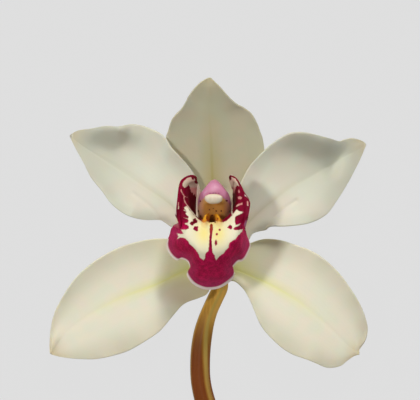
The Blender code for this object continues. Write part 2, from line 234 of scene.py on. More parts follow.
@dataclass(frozen=True)
class PetalTissue:
    """Orchid petal tissue, grown and fresh: thin, waxy and soft, so that light bleeds through it.

    It gives the eye ivory with cool and rosy patches a few millimetres wide, a
    yellow-green midrib and base, a greyer margin that is partly thin tissue and
    partly painted shade, painted shade over the far end, a brownish painted shade
    low down where the lip and column shade the base, faint parallel veins and a
    satin bloom.
    """

    name: str
    ivory: str = "#F0EBD5"
    cool: str = "#DFE2CB"
    rosy: str = "#EADFCC"
    rib: str = "#E6E48C"
    base: str = "#CFD07C"
    tip: str = "#DCCBA4"
    vein: str = "#CFC79C"
    back: str = "#E6DFC6"
    # The greyer margin colour is partly thinner tissue and partly painted shade where the margins turn away
    # from the light; the far strength lays it over the far end as painted shade.
    margin: str = "#C6C1A6"
    fleck: str = "#84663A"
    # The throat colour is painted shade: a brownish flush where the lip and column above shade the base.
    throat: str = "#B59C72"
    recess_shade_strength: float = 0.4
    margin_and_shade_strength: float = 0.5
    base_sides: float = 0.35
    far_shade_strength: float = 0.0
    tip_start: float = 0.86
    tip_strength: float = 0.75
    back_strength: float = 0.7
    rib_strength: float = 0.8
    rib_width: float = 0.24
    rib_reach: float = 0.85
    base_reach: float = 0.34
    vein_count: float = 11.0
    vein_strength: float = 0.022
    wander_mm: float = 5.0
    wander_lanes: float = 0.9
    patch_mm: float = 7.0
    patch_strength: float = 0.45
    cell_mm: float = 0.28
    fleck_gap_mm: float = 9.0
    bare_share: float = 0.88
    relief_mm: float = 0.006

    def make(self) -> bpy.types.Material:
        """Builds the material."""
        skin = Finish(self.name)
        along, across, face = skin.value("along"), skin.value("across"), skin.value("face")
        aside = skin.maths("ABSOLUTE", across)
        patch = skin.ramp(skin.grain(self.patch_mm, 1.0), 0.35, 0.65)
        colour = skin.blend(self.patch_strength, self.ivory, skin.blend(patch, self.cool, self.rosy))
        # Greyer margins, partly thin tissue and partly painted shade, and painted shade over the far end.
        thin = skin.times(skin.ramp(aside, 0.4, 1.0), self.margin_and_shade_strength)
        thin = skin.maths("MAXIMUM", thin, skin.ramp(along, 0.3, 0.85, 0.0, self.far_shade_strength))
        colour = skin.blend(thin, colour, self.margin)
        colour = skin.blend(skin.ramp(along, self.tip_start, 1.0, 0.0, self.tip_strength), colour, self.tip)
        line = skin.ramp(aside, 0.0, 0.05, 1.0, 0.65)
        ribbed = skin.times(skin.ramp(aside, 0.0, self.rib_width, 1.0, 0.0), line)
        ribbed = skin.times(ribbed, skin.ramp(along, 0.15, self.rib_reach, 1.0, 0.0))
        colour = skin.blend(skin.times(ribbed, self.rib_strength), colour, self.rib)
        beside = skin.ramp(aside, 0.8, 0.0, self.base_sides, 0.95)
        colour = skin.blend(skin.times(skin.ramp(along, self.base_reach, 0.0), beside), colour, self.base)
        # Painted shade from the lip and column, brownish, at the base.
        colour = skin.blend(skin.times(skin.value("throat"), self.recess_shade_strength), colour, self.throat)
        wander = skin.times(skin.grain(self.wander_mm, 1.0), self.wander_lanes)
        lane = skin.maths("ADD", skin.times(across, self.vein_count), wander)
        vein = skin.ramp(skin.maths("PINGPONG", lane, 0.5), 0.0, 0.2, 1.0, 0.0)
        shown = skin.times(skin.ramp(along, 0.98, 0.5, 0.15, 1.0), self.vein_strength)
        colour = skin.blend(skin.times(vein, shown), colour, self.vein)
        place = skin.add("TexCoord", output="Object")
        spots = {"Vector": place, "Scale": 1 / (self.fleck_gap_mm * MM), "Randomness": 1.0}
        near = skin.ramp(skin.add("TexVoronoi", {}, spots), 0.02, 0.045, 1.0, 0.0)
        chance = skin.add("SeparateColor", {}, {0: skin.add("TexVoronoi", {}, spots, "Color")})
        few = skin.maths("GREATER_THAN", chance, self.bare_share)
        colour = skin.blend(skin.times(near, few), colour, self.fleck)
        colour = skin.blend(skin.ramp(face, 0.55, 0.35, 0.0, self.back_strength), colour, self.back)
        height = skin.maths("ADD", skin.times(vein, -0.5), skin.grain(self.cell_mm, 2.0))
        sockets = {
            "Roughness": 0.52,
            "IOR": 1.42,
            "Subsurface Weight": 0.25,
            "Subsurface Radius": (1.0, 0.75, 0.4),
            "Subsurface Scale": 0.0016,
            "Sheen Weight": 0.08,
            "Sheen Roughness": 0.5,
        }
        return skin.close(colour, height, self.relief_mm, sockets)


@dataclass(frozen=True)
class VelvetLip:
    """Lip tissue, covered in papillae like fine velvet.

    It gives the eye deep crimson with a painted purplish sheen, broken up by its
    nap, on its shoulders and margins, and painted shade in the wells of its side
    lobes, its throat and its left wing, with cream and yellow guides whose edges
    follow the veins, and a pale streaked tube.
    """

    name: str = "velvet_lip_tissue"
    crimson: str = "#C81050"
    deep_crimson: str = "#960438"
    # The nap colour is a painted purplish sheen, laid on the shoulders, wings and margins.
    nap: str = "#B83B6C"
    # This dark colour is painted shade in the wells of the side lobes, the throat and the left wing, and also
    # darkens along the midline and round the blots.
    dark_marks_and_shade: str = "#58060E"
    cream: str = "#E9E2C4"
    yellow: str = "#F2E290"
    shaded_cream: str = "#BFAA94"
    blush: str = "#CF8C84"
    ember: str = "#A8401E"
    gold: str = "#DE9A26"
    rim: str = "#F7E6DC"
    lilac: str = "#A8708F"
    outside: str = "#DCC3B4"
    fleck: str = "#8A2A14"
    tube: str = "#E7DDB4"
    tube_streak: str = "#B98A78"
    papilla_mm: float = 0.35
    streak_mm: float = 1.6
    streak_stretch: tuple[float, ...] = (1, 3, 1)
    fray_mm: float = 0.9
    rim_core: float = 1.4
    rim_end: float = 2.6
    rim_strength: float = 0.95
    fleck_strength: float = 0.85
    relief_mm: float = 0.07

    def make(self) -> bpy.types.Material:
        """Builds the material."""
        skin = Finish(self.name)
        nap = skin.grain(self.papilla_mm, 2.0)
        streak = skin.grain(self.streak_mm, 2.0, self.streak_stretch)
        tuft = skin.maths("MULTIPLY_ADD", nap, 0.5, skin.times(streak, 0.5))
        colour = skin.blend(skin.ramp(tuft, 0.38, 0.62), self.deep_crimson, self.crimson)
        # Painted sheen: the nap colour is laid by place and broken up by the nap's noise.
        lit = skin.times(skin.value("painted_sheen"), skin.ramp(nap, 0.2, 0.8, 0.55, 1.0))
        colour = skin.blend(lit, colour, self.nap)
        # Painted shade in the lobes' wells, the throat and the left wing, with darker crimson along the
        # midline and round the blots.
        colour = skin.blend(skin.value("dark_marks_and_shade"), colour, self.dark_marks_and_shade)
        colour = skin.blend(skin.value("ember"), colour, self.ember)
        pale = skin.blend(skin.value("yellow"), self.cream, self.yellow)
        pale = skin.blend(skin.value("shade"), pale, self.shaded_cream)
        pale = skin.blend(skin.value("blush"), pale, self.blush)
        fray = skin.ramp(skin.grain(self.fray_mm, 2.0), 0.2, 0.8, -0.35, 0.35)
        frayed = skin.maths("ADD", skin.value("light"), fray)
        colour = skin.blend(skin.ramp(frayed, -0.4, 0.4), colour, pale)
        colour = skin.blend(skin.value("gold"), colour, self.gold)
        flecked = skin.ramp(skin.value("fleck"), -0.25, 0.25, 0.0, self.fleck_strength)
        colour = skin.blend(flecked, colour, self.fleck)
        rimmed = skin.ramp(skin.value("rim"), self.rim_end, self.rim_core, 0.0, self.rim_strength)
        colour = skin.blend(rimmed, colour, self.rim)
        colour = skin.blend(skin.value("lilac"), colour, self.lilac)
        through = skin.blend(skin.ramp(skin.value("rim"), 14.0, 5.0, 0.55, 0.95), self.outside, colour)
        colour = skin.blend(skin.ramp(skin.value("face"), 0.6, 0.4), colour, through)
        tube = skin.blend(skin.ramp(streak, 0.45, 0.6), self.tube, self.tube_streak)
        colour = skin.blend(skin.value("deep"), colour, tube)
        sockets = {
            "Roughness": 0.62,
            "IOR": 1.4,
            "Specular IOR Level": 0.08,
            "Subsurface Weight": 0.06,
            "Subsurface Radius": (1.0, 0.3, 0.3),
            "Subsurface Scale": 0.001,
        }
        return skin.close(colour, nap, self.relief_mm, sockets)


@dataclass(frozen=True)
class ColumnTissue:
    """Column tissue, thick and waxy, with a smooth gloss.

    It gives the eye a pink hood with a painted highlight on its bulge and a
    dark line of painted shade in the crease over the cap, over a tan face flecked
    with maroon.
    """

    name: str = "waxy_column_tissue"
    pink: str = "#C67A96"
    # The bright colour is a painted highlight on the bulge of the hood.
    painted_light: str = "#DDA0B6"
    flank: str = "#C67E9A"
    tan: str = "#DCA456"
    tan_side: str = "#D0987E"
    # The seam colour is a line of painted shade in the crease above the cap.
    crease_shade: str = "#7C2B4E"
    fleck: str = "#5B1020"
    back: str = "#D9CDA0"
    cell_mm: float = 0.5
    relief_mm: float = 0.02

    def make(self) -> bpy.types.Material:
        """Builds the material."""
        skin = Finish(self.name)
        cells = skin.grain(self.cell_mm, 2.0)
        colour = skin.blend(skin.value("flank"), self.pink, self.flank)
        # Painted highlight on the bulge of the hood.
        colour = skin.blend(skin.value("painted_light"), colour, self.painted_light)
        colour = skin.blend(skin.value("stem"), colour, self.back)
        ventral = skin.blend(skin.value("side"), self.tan, self.tan_side)
        colour = skin.blend(skin.ramp(skin.value("ventral"), -0.9, 0.9), colour, ventral)
        # Painted shade: a dark line in the crease above the cap.
        colour = skin.blend(skin.value("crease_shade"), colour, self.crease_shade)
        colour = skin.blend(skin.ramp(skin.value("fleck"), -0.3, 0.3), colour, self.fleck)
        sockets = {
            "Roughness": 0.36,
            "IOR": 1.45,
            "Subsurface Weight": 0.2,
            "Subsurface Radius": (1.0, 0.4, 0.35),
            "Subsurface Scale": 0.0015,
        }
        return skin.close(colour, cells, self.relief_mm, sockets)


@dataclass(frozen=True)
class CapTissue:
    """Anther cap: a brittle little lid, smooth and almost white, with painted shade warming its underside."""

    name: str = "anther_cap_tissue"
    cream: str = "#E4D8C2"
    # The warm colour is painted shade over the underside of the cap.
    warm: str = "#D8C2A2"
    patch_mm: float = 1.2
    cell_mm: float = 0.4
    relief_mm: float = 0.02

    def make(self) -> bpy.types.Material:
        """Builds the material."""
        skin = Finish(self.name)
        patch = skin.ramp(skin.grain(self.patch_mm, 2.0), 0.35, 0.7, 0.0, 0.5)
        colour = skin.blend(patch, self.cream, self.warm)
        # Painted shade over the underside of the cap.
        colour = skin.blend(skin.value("under_shade"), colour, self.warm)
        sockets = {
            "Roughness": 0.42,
            "IOR": 1.42,
            "Subsurface Weight": 0.3,
            "Subsurface Radius": (1.0, 0.8, 0.6),
            "Subsurface Scale": 0.001,
        }
        return skin.close(colour, skin.grain(self.cell_mm, 2.0), self.relief_mm, sockets)


@dataclass(frozen=True)
class StalkSkin:
    """Stalk skin: a green stem under a red-brown flush, with a waxy gloss.

    It gives the eye olive gold between red-brown furrows, browner towards the cut
    end, with a pale stripe that drifts across it, a green-yellow head and painted
    light on the right side of its upper half.
    """

    name: str = "waxy_stalk_skin"
    gold: str = "#D2A044"
    olive: str = "#9E7E26"
    green: str = "#645C22"
    # The bright colour is painted light on the right side of the upper half.
    painted_light: str = "#E6B65E"
    brown: str = "#6E3410"
    russet: str = "#7E4418"
    stripe: str = "#BFA656"
    head: str = "#B3A552"
    streak_mm: float = 1.1
    streak_stretch: tuple[float, ...] = (1, 7, 1)
    cell_mm: float = 0.3
    relief_mm: float = 0.06

    def make(self) -> bpy.types.Material:
        """Builds the material."""
        skin = Finish(self.name)
        along, across = skin.value("along"), skin.value("across")
        streak = skin.grain(self.streak_mm, 3.0, self.streak_stretch)
        flush = skin.ramp(along, 0.4, 0.85)
        colour = skin.blend(skin.ramp(streak, 0.3, 0.7, 0.0, 0.45), self.gold, self.olive)
        colour = skin.blend(skin.ramp(along, 0.38, 0.75, 0.0, 0.62), colour, self.brown)
        beside = skin.maths("SUBTRACT", across, skin.ramp(along, 0.5, 0.78, 0.0, 0.4))
        left = skin.times(skin.ramp(across, -0.95, -0.7), skin.ramp(beside, 0.1, -0.25))
        right = skin.ramp(across, 0.45, 0.75)
        left = skin.times(left, skin.maths("ADD", 0.3, flush))
        dark = skin.maths("MAXIMUM", left, skin.times(right, flush))
        colour = skin.blend(skin.ramp(dark, 0.0, 1.1), colour, skin.blend(streak, self.brown, self.russet))
        rib = skin.times(skin.ramp(beside, -0.05, 0.15), skin.ramp(beside, 0.5, 0.3))
        rib = skin.times(rib, skin.ramp(along, 0.55, 0.85, 0.8, 0.35))
        colour = skin.blend(rib, colour, self.stripe)
        colour = skin.blend(skin.ramp(across, -0.8, -1.0, 0.0, 0.75), colour, self.green)
        # Painted light: the right side of the upper half is lighter.
        lit = skin.times(skin.ramp(across, 0.1, 0.6), skin.ramp(along, 0.58, 0.45, 0.0, 0.6))
        colour = skin.blend(lit, colour, self.painted_light)
        colour = skin.blend(skin.ramp(along, 0.2, 0.0, 0.0, 0.6), colour, self.head)
        height = skin.maths("ADD", streak, skin.times(skin.grain(self.cell_mm, 2.0), 0.4))
        sockets = {
            "Roughness": 0.45,
            "IOR": 1.45,
            "Specular IOR Level": 0.14,
            "Subsurface Weight": 0.08,
            "Subsurface Radius": (0.8, 0.8, 0.3),
            "Subsurface Scale": 0.001,
        }
        return skin.close(colour, height, self.relief_mm, sockets)


@dataclass(frozen=True)
class CutFlesh:
    """The cut face of the stalk: wet green pith that has begun to dry."""

    name: str = "cut_stalk_flesh"
    pith: str = "#C9C88A"
    dry: str = "#A99A5C"
    pore_mm: float = 0.35
    relief_mm: float = 0.08

    def make(self) -> bpy.types.Material:
        """Builds the material."""
        skin = Finish(self.name)
        pores = skin.grain(self.pore_mm, 3.0)
        colour = skin.blend(skin.ramp(pores, 0.4, 0.65), self.pith, self.dry)
        sockets = {"Roughness": 0.35, "IOR": 1.4, "Subsurface Weight": 0.15, "Subsurface Scale": 0.001}
        return skin.close(colour, pores, self.relief_mm, sockets)


# Curves and sheets


@dataclass(frozen=True)
class Plan:
    """The drawing that all outlines are on, and the eye that it is seen by."""

    step_mm: float = 110 / 318
    eye_mm: float = 640.0
    height_mm: float = 15.0
    line_of_sight: tuple[float, float] = (0.0002, 0.0216)

    def place(self, plan: np.ndarray, height: np.ndarray) -> np.ndarray:
        """Raises points of the plan to their heights.

        Args:
            plan: the points, in steps from the line of sight.
            height: the height of each, in millimetres.

        Returns:
            The points in metres.
        """
        height = np.asarray(height, float)
        nearer = (self.eye_mm - height) / (self.eye_mm - self.height_mm)
        flat = np.asarray(plan, float) * self.step_mm * MM * nearer[..., None] + self.line_of_sight
        return np.concatenate([flat, height[..., None] * MM], axis=-1)

    def seen(self, points: np.ndarray) -> np.ndarray:
        """Finds where on the plan the eye sees points.

        Args:
            points: the points, in metres.

        Returns:
            Their places in steps from the line of sight.
        """
        nearer = (self.eye_mm - points[..., 2:] / MM) / (self.eye_mm - self.height_mm)
        return (points[..., :2] - self.line_of_sight) / (self.step_mm * MM * nearer)


PLAN = Plan()


def through(points: Line | np.ndarray, at: np.ndarray) -> np.ndarray:
    """The smooth curve through points.

    Args:
        points: the points that it goes through.
        at: places on it, from 0 to the last point's index.

    Returns:
        The point at each place.
    """
    points = np.asarray(points, float)
    last = len(points) - 1
    low = np.clip(np.floor(at).astype(int), 0, last - 1)
    part = (np.asarray(at, float) - low).reshape(-1, *[1] * (points.ndim - 1))
    before, after = points[np.maximum(low - 1, 0)], points[np.minimum(low + 2, last)]
    start, end = points[low], points[low + 1]
    leave, arrive = (end - before) / 2, (after - start) / 2
    square, cube = part**2, part**3
    return (
        start * (2 * cube - 3 * square + 1)
        + leave * (cube - 2 * square + part)
        + end * (3 * square - 2 * cube)
        + arrive * (cube - square)
    )


def even_curve(points: Line, share: np.ndarray) -> np.ndarray:
    """Points on the smooth curve through the points given, at shares of its length on the plan."""
    dense = through(points, np.linspace(0, len(points) - 1, 600))
    run = np.concatenate([[0], np.cumsum(np.linalg.norm(np.diff(dense[:, :2], axis=0), axis=1))])
    return np.stack([np.interp(share * run[-1], run, column) for column in dense.T], axis=-1)


def along(values: Line | np.ndarray, share: np.ndarray) -> np.ndarray:
    """Values spread evenly from the first to the last, read at shares of the way."""
    return through(values, np.asarray(share) * (len(values) - 1))


def normals_of(grid: np.ndarray) -> np.ndarray:
    """The unit normal of a grid of points at each point."""
    normal = np.cross(np.gradient(grid, axis=1), np.gradient(grid, axis=0))
    return normal / np.maximum(np.linalg.norm(normal, axis=-1, keepdims=True), 1e-15)


def smooth(value: np.ndarray, low: float, high: float) -> np.ndarray:
    """Rises smoothly from 0 at low to 1 at high, or falls where low is above high."""
    share = np.clip((value - low) / (high - low), 0, 1)
    return share * share * (3 - 2 * share)


def ridge(value: np.ndarray, middle: float, width: float) -> np.ndarray:
    """A soft ridge, 1 along its middle and almost 0 two widths away."""
    return np.exp(-(((value - middle) / width) ** 2))


def hill(x: np.ndarray, y: np.ndarray, middle: tuple[float, float], wide: float, high: float) -> np.ndarray:
    """A soft hill, 1 in its middle and almost 0 two widths away on either side."""
    return np.exp(-(((x - middle[0]) / wide) ** 2) - ((y - middle[1]) / high) ** 2)


def distance_to(points: np.ndarray, line: Line) -> np.ndarray:
    """How far each point of the plan is from a line, in steps."""
    best = np.full(points.shape[:-1], np.inf)
    for start, end in zip(np.asarray(line[:-1], float), np.asarray(line[1:], float)):
        run = end - start
        share = np.clip(((points - start) @ run) / max(run @ run, 1e-9), 0, 1)
        best = np.minimum(best, np.linalg.norm(points - start - share[..., None] * run, axis=-1))
    return best


def inside(points: np.ndarray, outline: Line) -> np.ndarray:
    """How far inside a closed outline each point is, in steps, and below 0 outside it."""
    closed = (*outline, outline[0])
    within = np.zeros(points.shape[:-1], bool)
    for (ax, ay), (bx, by) in zip(closed, closed[1:]):
        if ay == by:
            continue
        crosses = (ay > points[..., 1]) != (by > points[..., 1])
        within ^= crosses & (points[..., 0] < ax + (points[..., 1] - ay) * (bx - ax) / (by - ay))
    return np.where(within, 1, -1) * distance_to(points, closed)


def edged_shares(count: int, rim: float) -> tuple[np.ndarray, np.ndarray]:
    """Shares of the way across a sheet that ends in a round rim.

    Args:
        count: how many shares.
        rim: the share that each rim takes up.

    Returns:
        The shares, close together at both rims, and how full the sheet is at each.
    """
    turn = np.linspace(0, np.pi / 2, RIM_STEPS, endpoint=False)
    near = rim * (1 - np.cos(turn))
    middle = np.linspace(rim, 1 - rim, count - 2 * RIM_STEPS)
    full = np.sin(turn)
    return (
        np.concatenate([near, middle, 1 - near[::-1]]),
        np.concatenate([full, np.ones(len(middle)), full[::-1]]),
    )


def new_object(name: str, data: bpy.types.ID) -> bpy.types.Object:
    """Puts an object that holds a mesh, a lamp or a camera into the scene."""
    made = bpy.data.objects.new(name, data)
    bpy.context.scene.collection.objects.link(made)
    return made


def set_values(mesh: bpy.types.Mesh, name: str, value: np.ndarray) -> None:
    """Gives each point of a mesh its value of an attribute."""
    made = mesh.attributes.new(name, "FLOAT", "POINT")
    made.data.foreach_set("value", np.ascontiguousarray(value, dtype=np.float32).ravel())


def turn_outward(shape: bmesh.types.BMesh) -> None:
    """Turns the faces of a closed shape over if they face inward."""
    if shape.calc_volume(signed=True) < 0:
        bmesh.ops.reverse_faces(shape, faces=shape.faces)


def add_piece(
    name: str,
    points: np.ndarray,
    faces: list[tuple[int, ...]] | np.ndarray,
    values: dict[str, np.ndarray],
    material: bpy.types.Material,
) -> bpy.types.Object:
    """Makes a smooth mesh object whose place is in its mesh.

    Args:
        name: the piece's name.
        points: its points, in metres.
        faces: the points of each face.
        values: for the name of an attribute, its value at each point.
        material: its finish.

    Returns:
        The object, in the scene.
    """
    mesh = bpy.data.meshes.new(name)
    mesh.from_pydata(points.tolist(), [], [tuple(face) for face in faces])
    mesh.shade_smooth()
    for attribute, value in values.items():
        set_values(mesh, attribute, value)
    mesh.materials.append(material)
    return new_object(name, mesh)


def hand_over(piece: bpy.types.Object, node: str) -> None:
    """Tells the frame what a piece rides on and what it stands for."""
    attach(piece, BODY)
    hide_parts(node)
    LOG.info("%s: %d faces, stands for %s", piece.name, len(piece.data.polygons), node)


def sheet_piece(
    name: str,
    middle: np.ndarray,
    above: np.ndarray,
    below: np.ndarray,
    values: dict[str, np.ndarray],
    material: bpy.types.Material,
) -> bpy.types.Object:
    """Makes a closed sheet round its middle grid, whose two faces share their rim.

    Args:
        name: the piece's name.
        middle: the grid of points along the middle of the sheet.
        above: how far the inner face stands from it, in metres, which is 0 at the rim.
        below: how far the outer face does.
        values: for the name of an attribute, its value at each point of the grid.
        material: its finish.

    Returns:
        The object.
    """
    rows, columns = middle.shape[:2]
    normal = normals_of(middle)
    inner, outer = middle + normal * above[..., None], middle - normal * below[..., None]
    for face in (inner, outer):
        face[..., 2] = np.maximum(face[..., 2], 0)
    top = np.arange(rows * columns).reshape(rows, columns)
    under = top.copy()
    body = np.s_[1:-1, 1:-1]
    under[body] = rows * columns + np.arange((rows - 2) * (columns - 2)).reshape(rows - 2, columns - 2)
    corners = [np.s_[:-1, :-1], np.s_[:-1, 1:], np.s_[1:, 1:], np.s_[1:, :-1]]
    faces = np.concatenate([
        np.stack([top[corner] for corner in corners], -1).reshape(-1, 4),
        np.stack([under[corner] for corner in corners[::-1]], -1).reshape(-1, 4),
    ])
    points = np.concatenate([inner.reshape(-1, 3), outer[body].reshape(-1, 3)])
    both = {key: np.concatenate([value.ravel(), value[body].ravel()]) for key, value in values.items()}
    facing = np.full((rows, columns), Face.INNER.value)
    facing[0], facing[-1], facing[:, 0], facing[:, -1] = [0.5] * 4
    both["face"] = np.concatenate([facing.ravel(), np.full(facing[body].size, Face.OUTER.value)])
    return add_piece(name, points, faces, both, material)


def tube_faces(rings: int, sides: int) -> list[tuple[int, ...]]:
    """The faces of a tube through rings of points, with the point of each end after them."""
    faces: list[tuple[int, ...]] = []
    for ring in range(rings - 1):
        for side in range(sides):
            following = (side + 1) % sides
            low, high = ring * sides, (ring + 1) * sides
            faces.append((low + side, low + following, high + following, high + side))
    first, last = rings * sides, rings * sides + 1
    for side in range(sides):
        following = (side + 1) % sides
        faces.append((following, side, first))
        faces.append(((rings - 1) * sides + side, (rings - 1) * sides + following, last))
    return faces


def tube_piece(
    name: str, rings: np.ndarray, values: dict[str, np.ndarray], material: bpy.types.Material
) -> bpy.types.Object:
    """Makes a closed tube through rings of points, with both of its ends closed in a point.

    Args:
        name: the piece's name.
        rings: the points, as rings, sides and three coordinates.
        values: for the name of an attribute, its value at each point of the rings.
        material: its finish.

    Returns:
        The object.
    """
    count, sides = rings.shape[:2]
    points = np.concatenate([rings.reshape(-1, 3), rings[0].mean(0)[None], rings[-1].mean(0)[None]])
    faces = tube_faces(count, sides)
    filled = {
        key: np.append(value.ravel(), [value[0].mean(), value[-1].mean()]) for key, value in values.items()
    }
    piece = add_piece(name, points, faces, filled, material)
    shape = bmesh.new()
    shape.from_mesh(piece.data)
    turn_outward(shape)
    shape.to_mesh(piece.data)
    shape.free()
    return piece


# The sepals and petals


def free(share: np.ndarray) -> np.ndarray:
    """How freely a blade waves at a share of its length: not at all at its base and its tip."""
    return smooth(share, 0.0, 0.12) * smooth(share, 1.0, 0.85)


@dataclass
class Tepal:
    """A sepal or petal: its plan, and its heights from the base to the tip.

    Each ripple is (along, across, height, length, width), and each fold a line on
    the plan with its half width in steps and its height. The flush at its base,
    painted shade from the lip and column above it, is an oval on the plan:
    (right, up, half width, half height).
    """

    node: str
    rib: Line
    left: Line
    right: Line
    spine: tuple[float, ...]
    left_lift: tuple[float, ...]
    right_lift: tuple[float, ...]
    ripples: Line
    folds: tuple[tuple[Line, float, float], ...] = ()
    thickness_mm: float = 1.15
    edge_mm: float = 0.75
    rib_groove_mm: float = 0.08
    rib_keel_mm: float = 0.3
    vein_relief_mm: float = 0.001
    vein_count: float = 11.0
    wave_mm: float = 0.16
    rows: int = 150
    columns: int = 84
    end_rim: float = 0.006
    side_rim: float = 0.012
    groove_width: float = 0.06
    tip_part: float = 0.45
    seat_rows: int = 6
    seat: tuple[float, float] = (4.0, -62.0)
    seat_share: float = 0.42
    flush: tuple[float, ...] = (4.4, 0.0, 22.0, 25.0)

    def build(self, material: bpy.types.Material) -> bpy.types.Object:
        """Builds the blade and hands it over.

        Args:
            material: its finish.

        Returns:
            The piece.
        """
        share, row_full = edged_shares(self.rows, self.end_rim)
        side, side_full = edged_shares(self.columns, self.side_rim)
        across = (2 * side - 1)[None, :]
        rib, left, right = (even_curve(line, share)[:, None] for line in (self.rib, self.left, self.right))
        to_left, to_right = np.clip(-across, 0, 1)[..., None], np.clip(across, 0, 1)[..., None]
        plan = rib + (left - rib) * to_left + (right - rib) * to_right
        middle = PLAN.place(plan, self.heights(plan, share, across))
        half = (self.thickness_mm + (self.edge_mm - self.thickness_mm) * across**2) / 2
        half = half * (self.tip_part + (1 - self.tip_part) * smooth(share, 1.0, 0.94))[:, None]
        groove = ridge(across, 0.0, self.groove_width) * smooth(share, 0.98, 0.7)[:, None]
        veins = np.cos(2 * np.pi * across * self.vein_count) * free(share)[:, None] * self.vein_relief_mm
        full = row_full[:, None] * side_full[None, :]
        above = (half - groove * self.rib_groove_mm + veins) * full * MM
        below = (half + groove * self.rib_keel_mm + veins) * full * MM
        middle, above, below, share = self.seated(middle, above, below, share)
        seen, (right, up, wide, high) = PLAN.seen(middle), self.flush
        values = {
            "along": np.repeat(share[:, None], self.columns, 1),
            "across": np.repeat(across, len(share), 0),
            # Where the painted shade at the base lies, inside the flush oval.
            "throat": smooth(np.hypot((seen[..., 0] - right) / wide, (seen[..., 1] - up) / high), 1.3, 0.5),
        }
        piece = sheet_piece(f"{self.node}_tissue", middle, above, below, values, material)
        hand_over(piece, self.node)
        return piece

    def heights(self, plan: np.ndarray, share: np.ndarray, across: np.ndarray) -> np.ndarray:
        """Works out how high the middle of the blade lies.

        Args:
            plan: the grid's points on the plan.
            share: the share of the way along of each row.
            across: how far over each column is, from -1 at the left margin to 1 at the right one.

        Returns:
            The height of each point, in millimetres.
        """
        left, right = along(self.left_lift, share)[:, None], along(self.right_lift, share)[:, None]
        height = along(self.spine, share)[:, None] + np.where(across < 0, left, right) * across**2
        for at, over, rise, length, width in self.ripples:
            height = height + rise * hill(share[:, None], across, (at, over), length, width)
        for line, width, rise in self.folds:
            height = height + rise * ridge(distance_to(plan, line), 0.0, width)
        wave = np.sin(share * 31 + across[0, 0]) + 0.6 * np.sin(share * 53 + 2)
        return height + (wave * free(share) * self.wave_mm)[:, None] * np.abs(across) ** 6

    def seated(
        self, middle: np.ndarray, above: np.ndarray, below: np.ndarray, share: np.ndarray
    ) -> tuple[np.ndarray, np.ndarray, np.ndarray, np.ndarray]:
        """Draws the base of the blade in to the head of the ovary, which it grows from.

        Args:
            middle: the blade's middle grid.
            above: how far its inner face stands from it.
            below: how far its outer face does.
            share: the share of the way along of each row.

        Returns:
            The same four, with the rows of the seat first.
        """
        first = RIM_STEPS
        base = middle[first]
        seat = PLAN.place(np.asarray(self.seat), np.asarray(base[:, 2].mean() / MM))
        reach = np.linspace(self.seat_share, 0, self.seat_rows, endpoint=False)
        rows = [base + (seat - base) * part for part in reach]
        closed = np.minimum(np.arange(self.seat_rows) / 2, 1)[:, None]
        return (
            np.concatenate([rows, middle[first:]]),
            np.concatenate([above[first] * closed, above[first:]]),
            np.concatenate([below[first] * closed, below[first:]]),
            np.concatenate([np.zeros(self.seat_rows), share[first:]]),
        )


